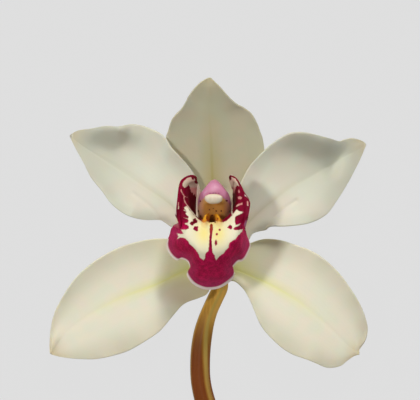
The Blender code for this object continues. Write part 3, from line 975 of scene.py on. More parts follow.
@dataclass
class Perianth:
    """The three sepals and two petals, each with the tissue that it shows."""

    sepal: PetalTissue = PetalTissue("lateral_sepal_tissue")
    # The dorsal sepal's tissue is darkened all over as painted shade for its forward lean; its pale base,
    # reaching out to the sides, is painted light that lifts the shadow the petals cast on it.
    dorsal: PetalTissue = PetalTissue(
        "dorsal_sepal_tissue", ivory="#C0B99C", cool="#B2B598", rosy="#BFB498", rib="#A4963C", base="#EAE4C2",
        tip="#BDB390", vein="#ADA27A", back="#CFC9AE", margin="#B7B49E", margin_and_shade_strength=0.3, base_sides=0.95,
        rib_strength=0.9, rib_width=0.36, rib_reach=1.0, base_reach=0.42, recess_shade_strength=0.0,
    )
    # On the side petals, the pale base is partly painted light that lifts shade near the lip, the darker rib
    # colour is painted shade along the rib, the throat colour is painted shade beside the column, and the far
    # strength lays painted shade over the outer part.
    petal: PetalTissue = PetalTissue(
        "side_petal_tissue", ivory="#E5E2CD", cool="#D9DECC", rosy="#E2D6C7", rib="#C2BF96", tip="#D2C6A4",
        back="#DAD5BF", base="#F0E9C4", margin="#B7B8A4", margin_and_shade_strength=0.45, far_shade_strength=0.7,
        throat="#A0685A", recess_shade_strength=0.8, rib_strength=0.5, rib_width=0.18,
    )

    def build(self) -> None:
        """Builds the five of them."""
        sepal, dorsal, petal = self.sepal.make(), self.dorsal.make(), self.petal.make()
        Tepal(
            node="dorsal_sepal",
            rib=((4, -49), (3, 0), (2, 30), (1, 60), (-1, 90), (0, 122.5)),
            left=((-8, -50), (-22, -20), (-38, 10), (-44.5, 40), (-44, 62), (-42, 69), (-38.5, 80), (-34, 86),
                  (-29, 91), (-24.5, 98), (-20.5, 105.5), (-13, 114.5), (-6, 120), (-0.6, 122.4)),
            right=((16, -50), (30, -15), (46, 15), (54, 42), (53, 60), (50, 69), (47.5, 76), (42, 86),
                   (34.5, 92), (27, 96), (19, 103), (11, 112), (5.5, 117.5), (0.6, 122.4)),
            spine=(11.9, 12.7, 14.4, 16.8, 19.8, 23.6, 28.2),
            left_lift=(0.0, 0.2, 0.4, 1.0, 2.2, 1.6, 0.2),
            right_lift=(0.0, 0.2, 0.4, 0.9, 1.8, 1.4, 0.2),
            ripples=((0.68, -1.0, -0.6, 0.10, 0.4), (0.80, -1.0, 0.3, 0.09, 0.4),
                     (0.70, 1.0, -0.6, 0.10, 0.4), (0.83, 1.0, 0.2, 0.09, 0.4)),
        ).build(dorsal)
        Tepal(
            node="left_lateral_sepal",
            rib=((-8.5, -69), (-23, -70), (-55, -85), (-90, -98), (-124, -117), (-148, -137), (-159.3, -154)),
            left=((-1.5, -79.5), (0, -87), (-3, -94), (-11, -98), (-26, -104), (-38, -117), (-50, -131),
                  (-66, -142), (-82, -151), (-98, -156), (-114, -159), (-130, -159), (-146, -157.5),
                  (-159.0, -154.4)),
            right=((-14.5, -57.5), (-25, -47.5), (-34, -41), (-43, -38.7), (-58, -39), (-74, -42), (-90, -47),
                   (-106, -55), (-122, -66), (-138, -82), (-154, -109), (-159.3, -128), (-160.2, -142),
                   (-159.8, -153.6)),
            spine=(11.9, 12.0, 12.6, 13.2, 13.4, 13.2, 12.6),
            left_lift=(0.0, -0.5, -0.6, -0.4, -0.6, -0.6, 0.0),
            right_lift=(0.0, 0.6, 2.2, 3.0, 2.5, 1.2, 0.0),
            ripples=((0.45, -1.0, 0.8, 0.07, 0.3), (0.62, -1.0, -0.6, 0.06, 0.3),
                     (0.93, 0.4, 0.8, 0.08, 0.5)),
            # Painted shade under the lip, at this sepal's base.
            flush=(-18, -92, 32, 15),
        ).build(sepal)
        Tepal(
            node="right_lateral_sepal",
            rib=((16.2, -70), (26, -70), (61, -85), (91.5, -103.5), (122, -130), (136, -144),
                 (149.2, -153.6)),
            left=((23.0, -59), (32, -49), (40, -43.3), (54, -39), (70, -40), (86, -45), (102, -51),
                  (118, -62), (134, -79), (150, -104), (157, -123), (157.5, -133), (155, -141),
                  (149.4, -149), (149.4, -152.6)),
            right=((9.5, -80.5), (16, -82), (24, -81.3), (32.5, -88), (39, -98.5), (44, -110), (48, -120),
                   (53, -129), (61, -138), (71, -147.3), (82.5, -154.5), (97, -159.7), (107, -163.8),
                   (115, -167.2), (122, -167.8), (130.5, -165.8), (136, -161.5), (143, -156.3),
                   (149.8, -154.2)),
            spine=(11.9, 12.0, 12.6, 13.2, 13.4, 12.8, 11.6),
            left_lift=(0.0, 0.6, 2.2, 3.0, 2.5, 0.8, 0.0),
            right_lift=(0.0, 0.6, 0.2, -0.4, -1.0, -1.6, -0.2),
            ripples=((0.12, 0.95, 0.9, 0.08, 0.3), (0.70, 1.0, 0.9, 0.08, 0.3),
                     (0.90, -0.9, -1.2, 0.07, 0.4)),
        ).build(sepal)
        Tepal(
            node="left_petal",
            rib=((-5, -54), (-20, -30), (-39, -5), (-79, 23), (-110, 43), (-128, 55), (-139.7, 64.4)),
            left=((-11.3, -61.1), (-22, -42), (-31, -29), (-39, -26.7), (-46, -22), (-51, -20), (-66, -19.8),
                  (-83, -15.4), (-98, -4.6), (-108, 8.7), (-118.7, 22), (-126, 36.4), (-132, 47), (-136, 55),
                  (-139.9, 63.8)),
            right=((1.3, -47), (-3, -20), (-9, 8), (-17, 27.5), (-30, 43.6), (-38.5, 52.5), (-44, 61.5),
                   (-51, 67.7), (-66, 73.9), (-79, 76), (-91, 73.5), (-104, 74.1), (-117, 71.7),
                   (-132, 69.5), (-139.5, 65)),
            spine=(13.4, 16.4, 18.4, 18.4, 15.4, 9.2, 0.3),
            left_lift=(0.0, 0.7, 1.5, 2.3, 2.0, 1.2, 0.0),
            right_lift=(0.0, 0.2, 1.4, 3.8, 3.4, 1.6, 0.0),
            ripples=((0.80, 1.0, 2.4, 0.10, 0.35), (0.93, 0.9, -0.6, 0.05, 0.40),
                     (0.55, 0.5, -0.6, 0.12, 0.35), (0.26, -1.0, -1.2, 0.06, 0.35),
                     (0.64, -1.0, -1.0, 0.09, 0.35)),
            folds=((((-50, -20), (-55, -11), (-64, -3), (-76, 6)), 2.2, -0.2),
                   (((-116, 69), (-104, 71), (-92, 71)), 11.0, 3.8),
                   (((-92, 71), (-76, 66)), 9.0, 1.0),
                   (((-60, -32), (-85, -27), (-117, 2), (-136, 32), (-150, 58)), 15.0, -2.8)),
        ).build(petal)
        Tepal(
            node="right_petal",
            rib=((13.5, -54.6), (30, -32), (48, -13), (65, 1), (81, 13), (98, 22), (115, 32), (133, 42),
                 (155.9, 55.5)),
            left=((7.7, -47.1), (14, -20), (24, 6), (31.4, 19), (39.6, 34), (53.9, 49.4), (61, 56),
                  (69, 61.6), (77.3, 66.2), (85.5, 68), (95, 67.8), (105, 65.7), (120, 61.6), (129, 58.9),
                  (134.5, 60.6), (141.6, 61.8), (148, 60.8), (153, 58.6), (155.6, 56.2)),
            right=((19.3, -62), (30, -50), (38.6, -40.4), (42.7, -33.8), (48.8, -31.2), (56, -29.7),
                   (61, -26.6), (79.4, -26.1), (99.8, -23.1), (116, -14.9), (126.3, -1.6), (137.6, 16.7),
                   (147.8, 36.1), (154.4, 51.4), (156.1, 54.8)),
            spine=(13.4, 16.4, 18.4, 18.4, 15.4, 9.2, 0.3),
            left_lift=(0.0, 0.2, 1.6, 4.2, 3.6, 1.6, 0.0),
            right_lift=(0.0, 1.0, 2.4, 3.2, 2.6, 1.4, 0.0),
            ripples=((0.80, -1.0, 3.2, 0.10, 0.50), (0.70, -0.1, -0.9, 0.12, 0.35),
                     (0.93, -0.8, -0.8, 0.05, 0.40), (0.24, 1.0, -1.4, 0.06, 0.35),
                     (0.70, 1.0, -0.8, 0.09, 0.35)),
            folds=((((55, -28), (64, -17), (75, -8), (86, -1)), 2.2, -0.22),
                   (((84, 70), (98, 66), (112, 61)), 17.0, 4.3),
                   (((133, 60), (128, 45), (122, 31)), 8.0, -2.4),
                   (((62, 58), (80, 69), (96, 69)), 12.0, 1.2),
                   (((112, -36), (128, -28), (140, -10), (152, 10), (162, 32)), 18.0, -4.5)),
        ).build(petal)


# The lip


@dataclass
class Lip:
    """The lip: a funnel that is open along the column, with two side lobes and a curling midlobe.

    Its rails run across it, from the left back edge round under the column to the
    right back edge. Each point is (steps right, steps up, height).
    """

    foot: Line = ((-1.5, -65, 15.6), (-2.6, -71, 15.6), (3.5, -74.5, 15.6), (9.6, -71, 15.6),
                  (8.5, -65, 15.6))
    throat: Line = ((-14.2, -25, 20.5), (-15, -37, 21.5), (-9, -46, 22), (3, -49, 22.5), (15, -46, 22),
                    (22.6, -37, 21.5), (22.6, -25, 20.5))
    mouth: Line = ((-14.2, 4, 27.5), (-17, 12, 30.5), (-23.5, 9, 33.5), (-23.5, 0, 34), (-20.5, -8, 33.5),
                   (-15.5, -16, 33), (-9, -21, 33.5), (-4, -23, 34.5), (2, -23.5, 35), (8, -23, 34.5),
                   (13, -21, 33.5), (19.5, -16, 33), (25, -8, 33.5), (27.5, 2, 34), (26.5, 12, 33),
                   (24.6, 16, 30.5), (23.2, 6, 27.5))
    flare: Line = ((-13.8, 12, 29.3), (-16.5, 20, 33), (-26, 15, 35.6), (-28.5, 2, 36.2), (-28.5, -11, 36),
                   (-23, -24.5, 37), (-24, -35, 39.6), (-15, -44, 41), (-9, -50, 41.6), (1, -52, 42),
                   (11, -50, 41.6), (18, -44, 41), (27, -35, 39.6), (29, -24.5, 37), (34, -9, 36),
                   (33.5, 3, 36.2), (29.5, 13, 35.2), (23.6, 20, 33), (22.6, 12, 29.3))
    margin: Line = ((-13.4, 17, 30.2), (-13.4, 21.2, 31.4), (-14.9, 23.9, 32.4), (-18, 24.8, 33.2),
                    (-23.2, 23.9, 34), (-27.7, 20.4, 34.8), (-30.8, 15, 35.6), (-33, 1.6, 36.6),
                    (-34.4, -11.8, 37), (-33.5, -17.1, 37), (-31.7, -22.5, 36.6), (-30, -28.3, 35.4),
                    (-34, -27.4, 33.8), (-37.5, -27, 31.8), (-39.7, -35, 30.2), (-42.9, -43.9, 28.6),
                    (-40.2, -52.9, 28.4), (-33.5, -59.6, 29.6), (-28.6, -58, 31.6), (-22, -61, 32.2),
                    (-19.2, -66.7, 31.4), (-20.1, -70.7, 30), (-22.3, -75.2, 28.2), (-17, -83.2, 26.4),
                    (-8, -88, 25.4), (0, -89, 25), (9, -87.6, 25.4), (16.1, -83.7, 26.4),
                    (23.7, -77, 28.2), (23.2, -72.5, 30), (21.4, -68.5, 31.4), (26.8, -61.8, 32),
                    (31.3, -60.9, 30.8), (34.8, -57.3, 29.4), (39.3, -47.5, 28.4), (38.8, -43, 28.8),
                    (36.2, -36.8, 30.6), (34.5, -31, 32.6), (33.9, -28.8, 35.2), (37, -18.9, 36.8),
                    (39.3, -13.6, 37), (40.2, -5.5, 36.8), (38.4, -0.2, 36.6), (34.8, 5.2, 36.2),
                    (30.4, 14.1, 35), (25.9, 21.3, 33.6), (22.3, 24.6, 32.8), (20.2, 24.6, 32),
                    (20.2, 19.5, 30.6), (21.8, 16.5, 30))
    thickness_mm: float = 0.9
    keel_offset: float = 0.075
    keel_width: float = 0.034
    keel_mm: float = 3.2
    keel_run: Line = ((0.0, 0.0), (0.2, 0.25), (0.36, 0.7), (0.47, 1.0), (0.54, 0.6), (0.6, 0.0), (1.0, 0.0))
    rows: int = 190
    columns: int = 216
    end_rim: float = 0.008
    side_rim: float = 0.004
    rows_below_mouth: float = 0.2
    share_below_mouth: float = 0.46
    frill_mm: tuple[float, float] = (0.3, 0.2)

    # The guides: pale areas, the crimson blots and dots on them, and fine pale strokes with their half width.
    guides: tuple[Line, ...] = (
        ((-26.25, -7.75), (-23, -5.25), (-20.75, -9.5), (-16.5, -14.5), (-13.25, -17.75), (-9, -21),
         (-6.5, -22.75), (-1.5, -21), (0, -22.25), (3, -22.25), (6, -21), (13, -22.25), (16.75, -21),
         (20.75, -17), (23.25, -13.5), (26.75, -9.5), (28.75, -10.75), (33.75, -12.25), (29.5, -14.5),
         (26, -16), (25, -17.75), (25, -22), (25.5, -25.25), (30.5, -23.5), (29, -25.5), (23.75, -28.25),
         (24.25, -29.75), (29, -30), (33, -29.25), (32, -31.75), (28.75, -34.75), (25, -39.75),
         (22.5, -40.25), (19, -43.75), (18.5, -47.5), (15.5, -50.5), (13.25, -53.5), (9, -57),
         (6.25, -60.25), (5, -57.5), (4.5, -55), (2.5, -52.5), (2, -47.5), (1.75, -40.25), (2, -34.25),
         (3, -30.25), (2.75, -25.25), (1.5, -23.5), (0, -25.25), (-0.5, -29.25), (-0.25, -34.25),
         (-0.75, -40.25), (-1, -46), (-2, -51), (-5, -54.25), (-4.75, -57.5), (-6.5, -60.25),
         (-9.75, -57.75), (-12.25, -52.5), (-15.25, -48.75), (-20.25, -44), (-22.75, -40), (-26.25, -37.75),
         (-29.75, -37.5), (-33, -39), (-31.5, -36.25), (-33.75, -32.75), (-29.25, -34.25), (-26.25, -34),
         (-28.5, -30.5), (-29.5, -29.5), (-23, -29.75), (-21, -28.25), (-21.25, -26), (-23, -24.75),
         (-27, -23.25), (-22.75, -23), (-21.25, -21), (-22.25, -19), (-27.25, -17.5), (-21.75, -18.25),
         (-21.25, -16.5), (-24, -14.5), (-24.5, -13.25), (-23, -12), (-26.5, -10), (-24, -10.25)),
        ((-27.5, 16.5), (-25.5, 19.5), (-22.25, 22.25), (-18.75, 23), (-15.5, 21.5), (-14.75, 19),
         (-15.75, 17), (-12.75, 15.75), (-11.75, 13), (-12.75, 10.25), (-13.5, 7), (-14.25, 3.5),
         (-15.25, 6.25), (-16.25, 4.5), (-17.25, 7.75), (-18.25, 7), (-19.25, 9.5), (-20.25, 13.25),
         (-21.5, 15.25), (-23, 13.25), (-25.5, 12.25), (-27.25, 14.25)),
        ((21.5, 23), (25, 21.5), (27.5, 17.75), (29.25, 13.5), (27, 14.75), (25.75, 12.75), (25, 9.25),
         (24, 5.75), (23.25, 8), (21.75, 3.5), (20.75, 7), (20.25, 12.75), (19.25, 17.75), (20.5, 19.5)),
        ((29, 10.75), (30, 8.25), (29, 6.75), (28, 8.75)),
        ((27.75, 3), (30, 4), (32.25, 2.5), (30.25, 0.5), (28.25, 1.25)),
        ((25.75, -6.75), (28, -3.75), (32.5, -2.75), (32.5, -4.75), (28.75, -5.5)),
    )
    strokes: tuple[tuple[Line, float], ...] = (
        (((-29, 10.25), (-27.5, 6.5), (-25.75, 3.75), (-26, 1), (-25, -2.25), (-23, -5), (-19.75, -9.5),
          (-14.75, -15.75)), 0.5),
        (((-25.75, 3.75), (-22.75, 2.75)), 0.4),
        (((-31.75, -2.75), (-31.5, -8.75)), 0.5),
        (((37.5, -1.5), (37.75, -5.25)), 0.65),
        (((18.8, 21.5), (20.25, 12), (21.25, 3), (21.25, -7.75), (22.25, -14)), 0.55),
    )
    blots: tuple[Line, ...] = (
        ((-16.75, -19.5), (-14.75, -18.5), (-12.75, -21), (-13.25, -22.75), (-15.25, -23.25), (-17, -25),
         (-18.75, -25.25), (-20, -23.5), (-18.75, -22), (-16.75, -21.5)),
        ((-16.75, -29), (-15.25, -26.75), (-12.25, -26.5), (-12.25, -30.5), (-14, -31)),
        ((17.25, -27.5), (20, -25), (22, -26), (22, -28.25), (20.75, -29), (18.75, -28)),
        ((23.5, -29), (25, -27.25), (29, -26), (32, -26.5), (32.5, -28.25), (30, -29.5), (25.75, -30)),
    )
    dots: Line = ((9.75, -30, 0.9, 0.8), (6.75, -34.25, 1.1, 1.0), (6, -42.75, 1.0, 2.2))
    bars: tuple[tuple[Line, float], ...] = (
        (((-18.6, 24), (-17, 21)), 0.6),
        (((-16, 23.4), (-13.2, 19.6)), 0.6),
        (((-14.8, 18.8), (-12.4, 16.3)), 0.6),
        (((-12.3, 17), (-11.2, 13)), 0.6),
        (((19, 23.5), (20.6, 21)), 0.8),
    )
    flecks: Line = ((-3.1, -17.6, 1.0, 2.0), (-0.8, -22, 0.8, 1.2), (-1.8, -20.4, 0.7, 1.0),
                    (7.8, -18.8, 0.8, 1.4), (5.2, -22.3, 0.8, 0.9), (1.4, -25, 1.3, 1.1),
                    (9.8, -16.5, 0.6, 0.8))

    def build(self, material: bpy.types.Material) -> bpy.types.Object:
        """Builds the lip and hands it over.

        Args:
            material: its finish.

        Returns:
            The piece.
        """
        even, row_full = edged_shares(self.rows, self.end_rim)
        share = np.interp(even, (0, self.rows_below_mouth, 1), (0, self.share_below_mouth, 1))
        side, side_full = edged_shares(self.columns, self.side_rim)
        rails = np.stack([
            even_curve(rail, side) if rail is self.foot else along(rail, side)
            for rail in (self.foot, self.throat, self.mouth, self.flare, self.margin)
        ])
        grid = along(rails, share)[:, ::-1]
        plan, height = grid[..., :2], grid[..., 2]
        out = smooth(share, 0.72, 1.0)[:, None]
        broad, fine = self.frill_mm
        frill = broad * np.sin(side * 95)[None, ::-1] + fine * np.sin(side * 151 + 1)[None, ::-1]
        middle = PLAN.place(plan, height + frill * out**2)
        full = row_full[:, None] * side_full[None, :]
        over = np.exp(-(((np.abs(side - 0.5) - self.keel_offset) / self.keel_width) ** 4))
        keel = np.interp(share, *zip(*self.keel_run))[:, None] * over
        half = self.thickness_mm / 2
        above, below = (half + keel * self.keel_mm) * full * MM, half * full * MM
        seen = PLAN.seen(middle + normals_of(middle) * above[..., None])
        piece = sheet_piece("lip_tissue", middle, above, below, self.markings(seen, share, keel), material)
        hand_over(piece, "lip")
        return piece

    def markings(self, plan: np.ndarray, share: np.ndarray, keel: np.ndarray) -> dict[str, np.ndarray]:
        """Works out where each colour of the lip lies.

        Args:
            plan: the grid's points on the plan.
            share: the share of the way out of each row.
            keel: how high the keels are at each point, from 0 to 1.

        Returns:
            The lip's attributes.
        """
        # Each smooth call names where a tone starts and where it is full, in steps of the plan.
        x, y = plan[..., 0], plan[..., 1]
        light = np.maximum(
            np.max([inside(plan, outline) for outline in self.guides], axis=0), drawn(plan, self.strokes)
        )
        dark = np.maximum.reduce([
            np.max([inside(plan, outline) for outline in self.blots], axis=0),
            drawn(plan, self.bars),
            ovals(plan, self.dots),
        ]) + 0.3
        yellow = hill(np.abs(x - 1), y, (7, -33), 8, 12)
        yellow = np.maximum(yellow, 0.9 * hill(x, y, (2, -23), 13, 5))
        left_lobe = smooth(x, -23, -16) * smooth(y, -19, -10) * smooth(y, 14, 6) * (x < 0)
        right_lobe = smooth(x, 29, 23) * smooth(y, -14, -8) * smooth(y, 14, 6) * (x > 9)
        ember = smooth(y, -36, -26) * ridge(x, 1.2, 2.5) * smooth(y, -18, -22)
        edge = along(self.margin, np.linspace(0, 1, 160))[:, :2]
        rim = np.maximum(distance_to(plan, edge), (1 - share[:, None]) * 48)
        # Painted sheen, placed on the lower margin, the shoulders, the wings and near the rim.
        painted_sheen = np.maximum.reduce([
            0.75 * smooth(y, -74, -88),
            0.6 * hill(x, y, (-35, -33), 7, 7),
            0.7 * hill(x, y, (36, -46), 5, 9),
            0.45 * hill(x, y, (37, -12), 3, 9),
            0.6 * smooth(rim, 10, 2) * smooth(y, -26, -34),
        ])
        midlobe = smooth(y, -31, -38)
        # Painted shade in the wells of the side lobes, in the throat by the column and over the left wing;
        # the channel darkens along the midline and the spots darken round the blots.
        painted_well_shade = 0.85 * np.maximum(left_lobe, right_lobe)
        throat = 0.7 * smooth(y, -28, -18)
        channel = 0.6 * ridge(x, 1, 2.2) * smooth(y, -50, -44) * smooth(y, -22, -26)
        painted_left_shade = 0.16 * smooth(x, -8, -18) * smooth(y, -28, -36)
        spots = 0.5 * smooth(dark, -0.6, 0.6)
        return {
            "light": np.minimum(light, -dark),
            "yellow": np.clip(yellow, 0, 1),
            "dark_marks_and_shade": np.clip(painted_well_shade + throat + channel + painted_left_shade + spots, 0, 0.9),
            "shade": 0.75 * smooth(y, 4, 13),
            "painted_sheen": painted_sheen,
            "ember": 0.8 * ember,
            "gold": np.clip(keel * 1.7, 0, 1) * smooth(y, -34, -26),
            "blush": 0.95 * smooth(y, -9, -4) * smooth(y, 14, 11) + 0.35 * smooth(y, 16, 22),
            "fleck": ovals(plan, self.flecks),
            "rim": rim + 1.5 * (1 - 0.8 * midlobe) + 4 * smooth(y, -40, -35) * smooth(y, -14, -20),
            "lilac": smooth(np.hypot(x - 35.8, (y + 25) / 2.2), 2.2, 1.2),
            "deep": smooth(share, 0.3, 0.2)[:, None] * np.ones_like(x),
        }


def drawn(plan: np.ndarray, strokes: tuple[tuple[Line, float], ...]) -> np.ndarray:
    """How far inside the nearest stroke each point is, where each stroke is (line, half width)."""
    return np.max([width - distance_to(plan, line) for line, width in strokes], axis=0)


def ovals(plan: np.ndarray, shapes: Line) -> np.ndarray:
    """How far inside the nearest oval each point is: each is (right, up, half width, half height)."""
    return np.max([
        (1 - np.hypot((plan[..., 0] - x) / wide, (plan[..., 1] - y) / high)) * min(wide, high)
        for x, y, wide, high in shapes
    ], axis=0)


# The column


@dataclass
class Column:
    """The column and the anther cap under its hood.

    Each section of the column is its back and its front, as (steps up, height),
    then half its width and the depth of the hollow in its front.
    """

    middle: float = 4.4
    sections: tuple = (((-53, 15), (-61.5, 15), 2.2, 0), ((-38, 17.8), (-55.5, 18.4), 3.0, 0),
                       ((-17, 21.8), (-42, 22.4), 4.2, 0.1), ((4, 26.6), (-28, 27), 6.3, 0.6),
                       ((16.5, 31.2), (-16.6, 31.4), 6.4, 1.4), ((20.6, 34.4), (-9, 35), 6.0, 1.8),
                       ((18, 37.4), (-5, 37), 4.6, 1.0), ((10.5, 38.9), (-3, 37.7), 3.5, 0.2))
    ridge: float = 1.7
    front: float = 0.8
    hollow_width: float = 0.5
    rounded_from: float = 0.94
    least_ring: float = 0.02
    hood_corner: int = 8
    hood_outline: Line = ((-30, 18.0), (-10, 18.0), (-2, 17.7), (2, 16.6), (5, 15.2), (7, 14.2), (9, 12.4),
                          (11.3, 10.4), (13.5, 8.6), (15.4, 7.0), (17.5, 5.3), (19.5, 3.6), (21, 2.0))
    rings: int = 150
    sides: int = 144
    cap_middle: tuple[float, ...] = (3.6, 1.6, 39.1)
    cap_half: tuple[float, ...] = (3.0, 2.0, 1.35)
    cap_lean: float = 22.0
    cap_far_side: float = 0.8
    cap_underside: float = 0.35
    cap_notch: float = 0.05
    cap_square: float = 0.09
    cap_rings: int = 40
    cap_sides: int = 96
    face: Line = ((-8.5, 0), (-4, 3), (11, 3), (16, 0), (19.5, -4), (22.5, -10), (22.5, -20), (17, -28),
                  (4, -34), (-9, -28), (-14, -20), (-14, -10), (-11, -4))
    flecks: Line = ((-9.75, -1.25, 0.8, 0.9), (10.5, -1.5, 0.8, 0.8), (16.75, -0.75, 1.2, 0.9),
                    (3.5, -8.5, 0.8, 0.8), (-0.5, -9.75, 0.7, 0.8), (6.25, -11, 0.9, 0.9),
                    (11.25, -11, 0.8, 0.9), (2.25, -15.25, 0.8, 0.8), (6.25, -15.75, 0.8, 0.8),
                    (-11.5, -11, 0.7, 1.0), (-9.75, -16, 0.6, 0.8), (20, -12, 0.5, 2.0))

    def build(self, tissue: bpy.types.Material, cap: bpy.types.Material) -> None:
        """Builds the column and its cap.

        Args:
            tissue: the column's finish.
            cap: the cap's finish.
        """
        self.build_column(tissue)
        self.build_cap(cap)

    def build_column(self, material: bpy.types.Material) -> bpy.types.Object:
        """Builds the arched, hollow-fronted column."""
        last = len(self.sections) - 1
        at = last * np.linspace(0, 1, self.rings)
        back = through([section[0] for section in self.sections], at)
        front = through([section[1] for section in self.sections], at)
        wide = through([section[2] for section in self.sections], at)
        hollow = through([section[3] for section in self.sections], at)
        turn = np.linspace(0, 2 * np.pi, self.sides, endpoint=False)
        behind = np.cos(turn)
        power = np.where(behind > 0, self.ridge, self.front)
        aside = np.sign(np.sin(turn)) * np.abs(np.sin(turn)) ** power
        ends = np.interp(np.linspace(0, 1, self.rings), (0, self.rounded_from, 1), (0, 0, 1))
        rings, plans = [], []
        for i in range(self.rings):
            deep = np.linalg.norm((back[i] - front[i]) * (PLAN.step_mm, 1)) / 2
            shrink = math.sqrt(max(1 - ends[i] ** 2, self.least_ring**2))
            dent = hollow[i] * np.exp(-((aside / self.hollow_width) ** 2)) * (behind < 0)
            place_on = ((behind * shrink + dent / deep * shrink) + 1) / 2
            up = front[i, 0] + (back[i, 0] - front[i, 0]) * place_on
            high = front[i, 1] + (back[i, 1] - front[i, 1]) * place_on
            reach = aside * wide[i] * shrink / PLAN.step_mm
            limit = np.interp(up, *zip(*self.hood_outline))
            reach = reach / (1 + np.abs(reach / limit) ** self.hood_corner) ** (1 / self.hood_corner)
            plans.append(np.stack([self.middle + reach, up], axis=-1))
            rings.append(PLAN.place(plans[-1], high))
        rings, plans = np.stack(rings), np.stack(plans)
        piece = tube_piece("column_tissue", rings, self.markings(plans, behind, at / last), material)
        hand_over(piece, "column")
        return piece

    def markings(self, plan: np.ndarray, behind: np.ndarray, share: np.ndarray) -> dict[str, np.ndarray]:
        """Works out where each colour of the column lies.

        Args:
            plan: the points of its rings on the plan.
            behind: how far round to the back each side is, from -1 to 1.
            share: the share of the way up of each ring.

        Returns:
            The column's attributes.
        """
        x, y = plan[..., 0], plan[..., 1]
        front = smooth(behind, 0.25, -0.05)[None, :]
        low = smooth(share, 0.45, 0.15)[:, None]
        aside = np.abs(x - self.middle)
        return {
            "ventral": np.where(front > 0.5, inside(plan, self.face), FAR_OUTSIDE),
            "side": smooth(aside, 8, 15) * np.ones_like(y),
            "flank": np.clip(smooth(aside, 4, 11) + 0.3 * smooth(y, 12, 4), 0, 1) * (1 - low),
            # Painted highlight: a round pale patch on the bulge of the hood.
            "painted_light": 0.9 * hill(x, y, (3.8, 11.5), 4.5, 4.5),
            # Painted shade along the crease above the cap.
            "crease_shade": 0.8 * ridge(y, 6.6, 0.45) * smooth(aside, 6.5, 4),
            "stem": low * np.ones_like(x),
            "fleck": np.where(front > 0.5, ovals(plan, self.flecks), FAR_OUTSIDE),
        }

    def build_cap(self, material: bpy.types.Material) -> bpy.types.Object:
        """Builds the anther cap: a small dome, flattened underneath and towards the back."""
        lean = math.radians(self.cap_lean)
        turn = np.linspace(0, 2 * np.pi, self.cap_sides, endpoint=False)
        middle = PLAN.place(np.asarray(self.cap_middle[:2]), np.asarray(self.cap_middle[2]))
        rings, under_shade = [], []
        for tilt in np.radians(np.linspace(-88, 88, self.cap_rings)):
            lobes = 1 - self.cap_notch * ridge(turn, 1.5 * np.pi, 0.25)
            square = 1 + self.cap_square * np.sin(2 * turn) ** 2 * (np.sin(turn) > 0)
            aside = np.cos(tilt) * np.cos(turn) * self.cap_half[0] * lobes * square
            ahead = np.cos(tilt) * np.sin(turn) * self.cap_half[1] * lobes
            ahead = np.where(ahead > 0, ahead * self.cap_far_side, ahead)
            high = np.sin(tilt) * self.cap_half[2] * (self.cap_underside if tilt < 0 else 1)
            leaning = ahead * math.cos(lean) - high * math.sin(lean)
            ring = np.stack([aside, leaning, ahead * math.sin(lean) + high * math.cos(lean)], axis=-1)
            rings.append(middle + ring * MM)
            # Painted shade on the lower half of the cap.
            under_shade.append(np.full(self.cap_sides, float(smooth(np.asarray(tilt), 0.5, 0.0))))
        piece = tube_piece("anther_cap_tissue", np.stack(rings), {"under_shade": np.stack(under_shade)}, material)
        hand_over(piece, "anther_cap")
        return piece


# The stalk


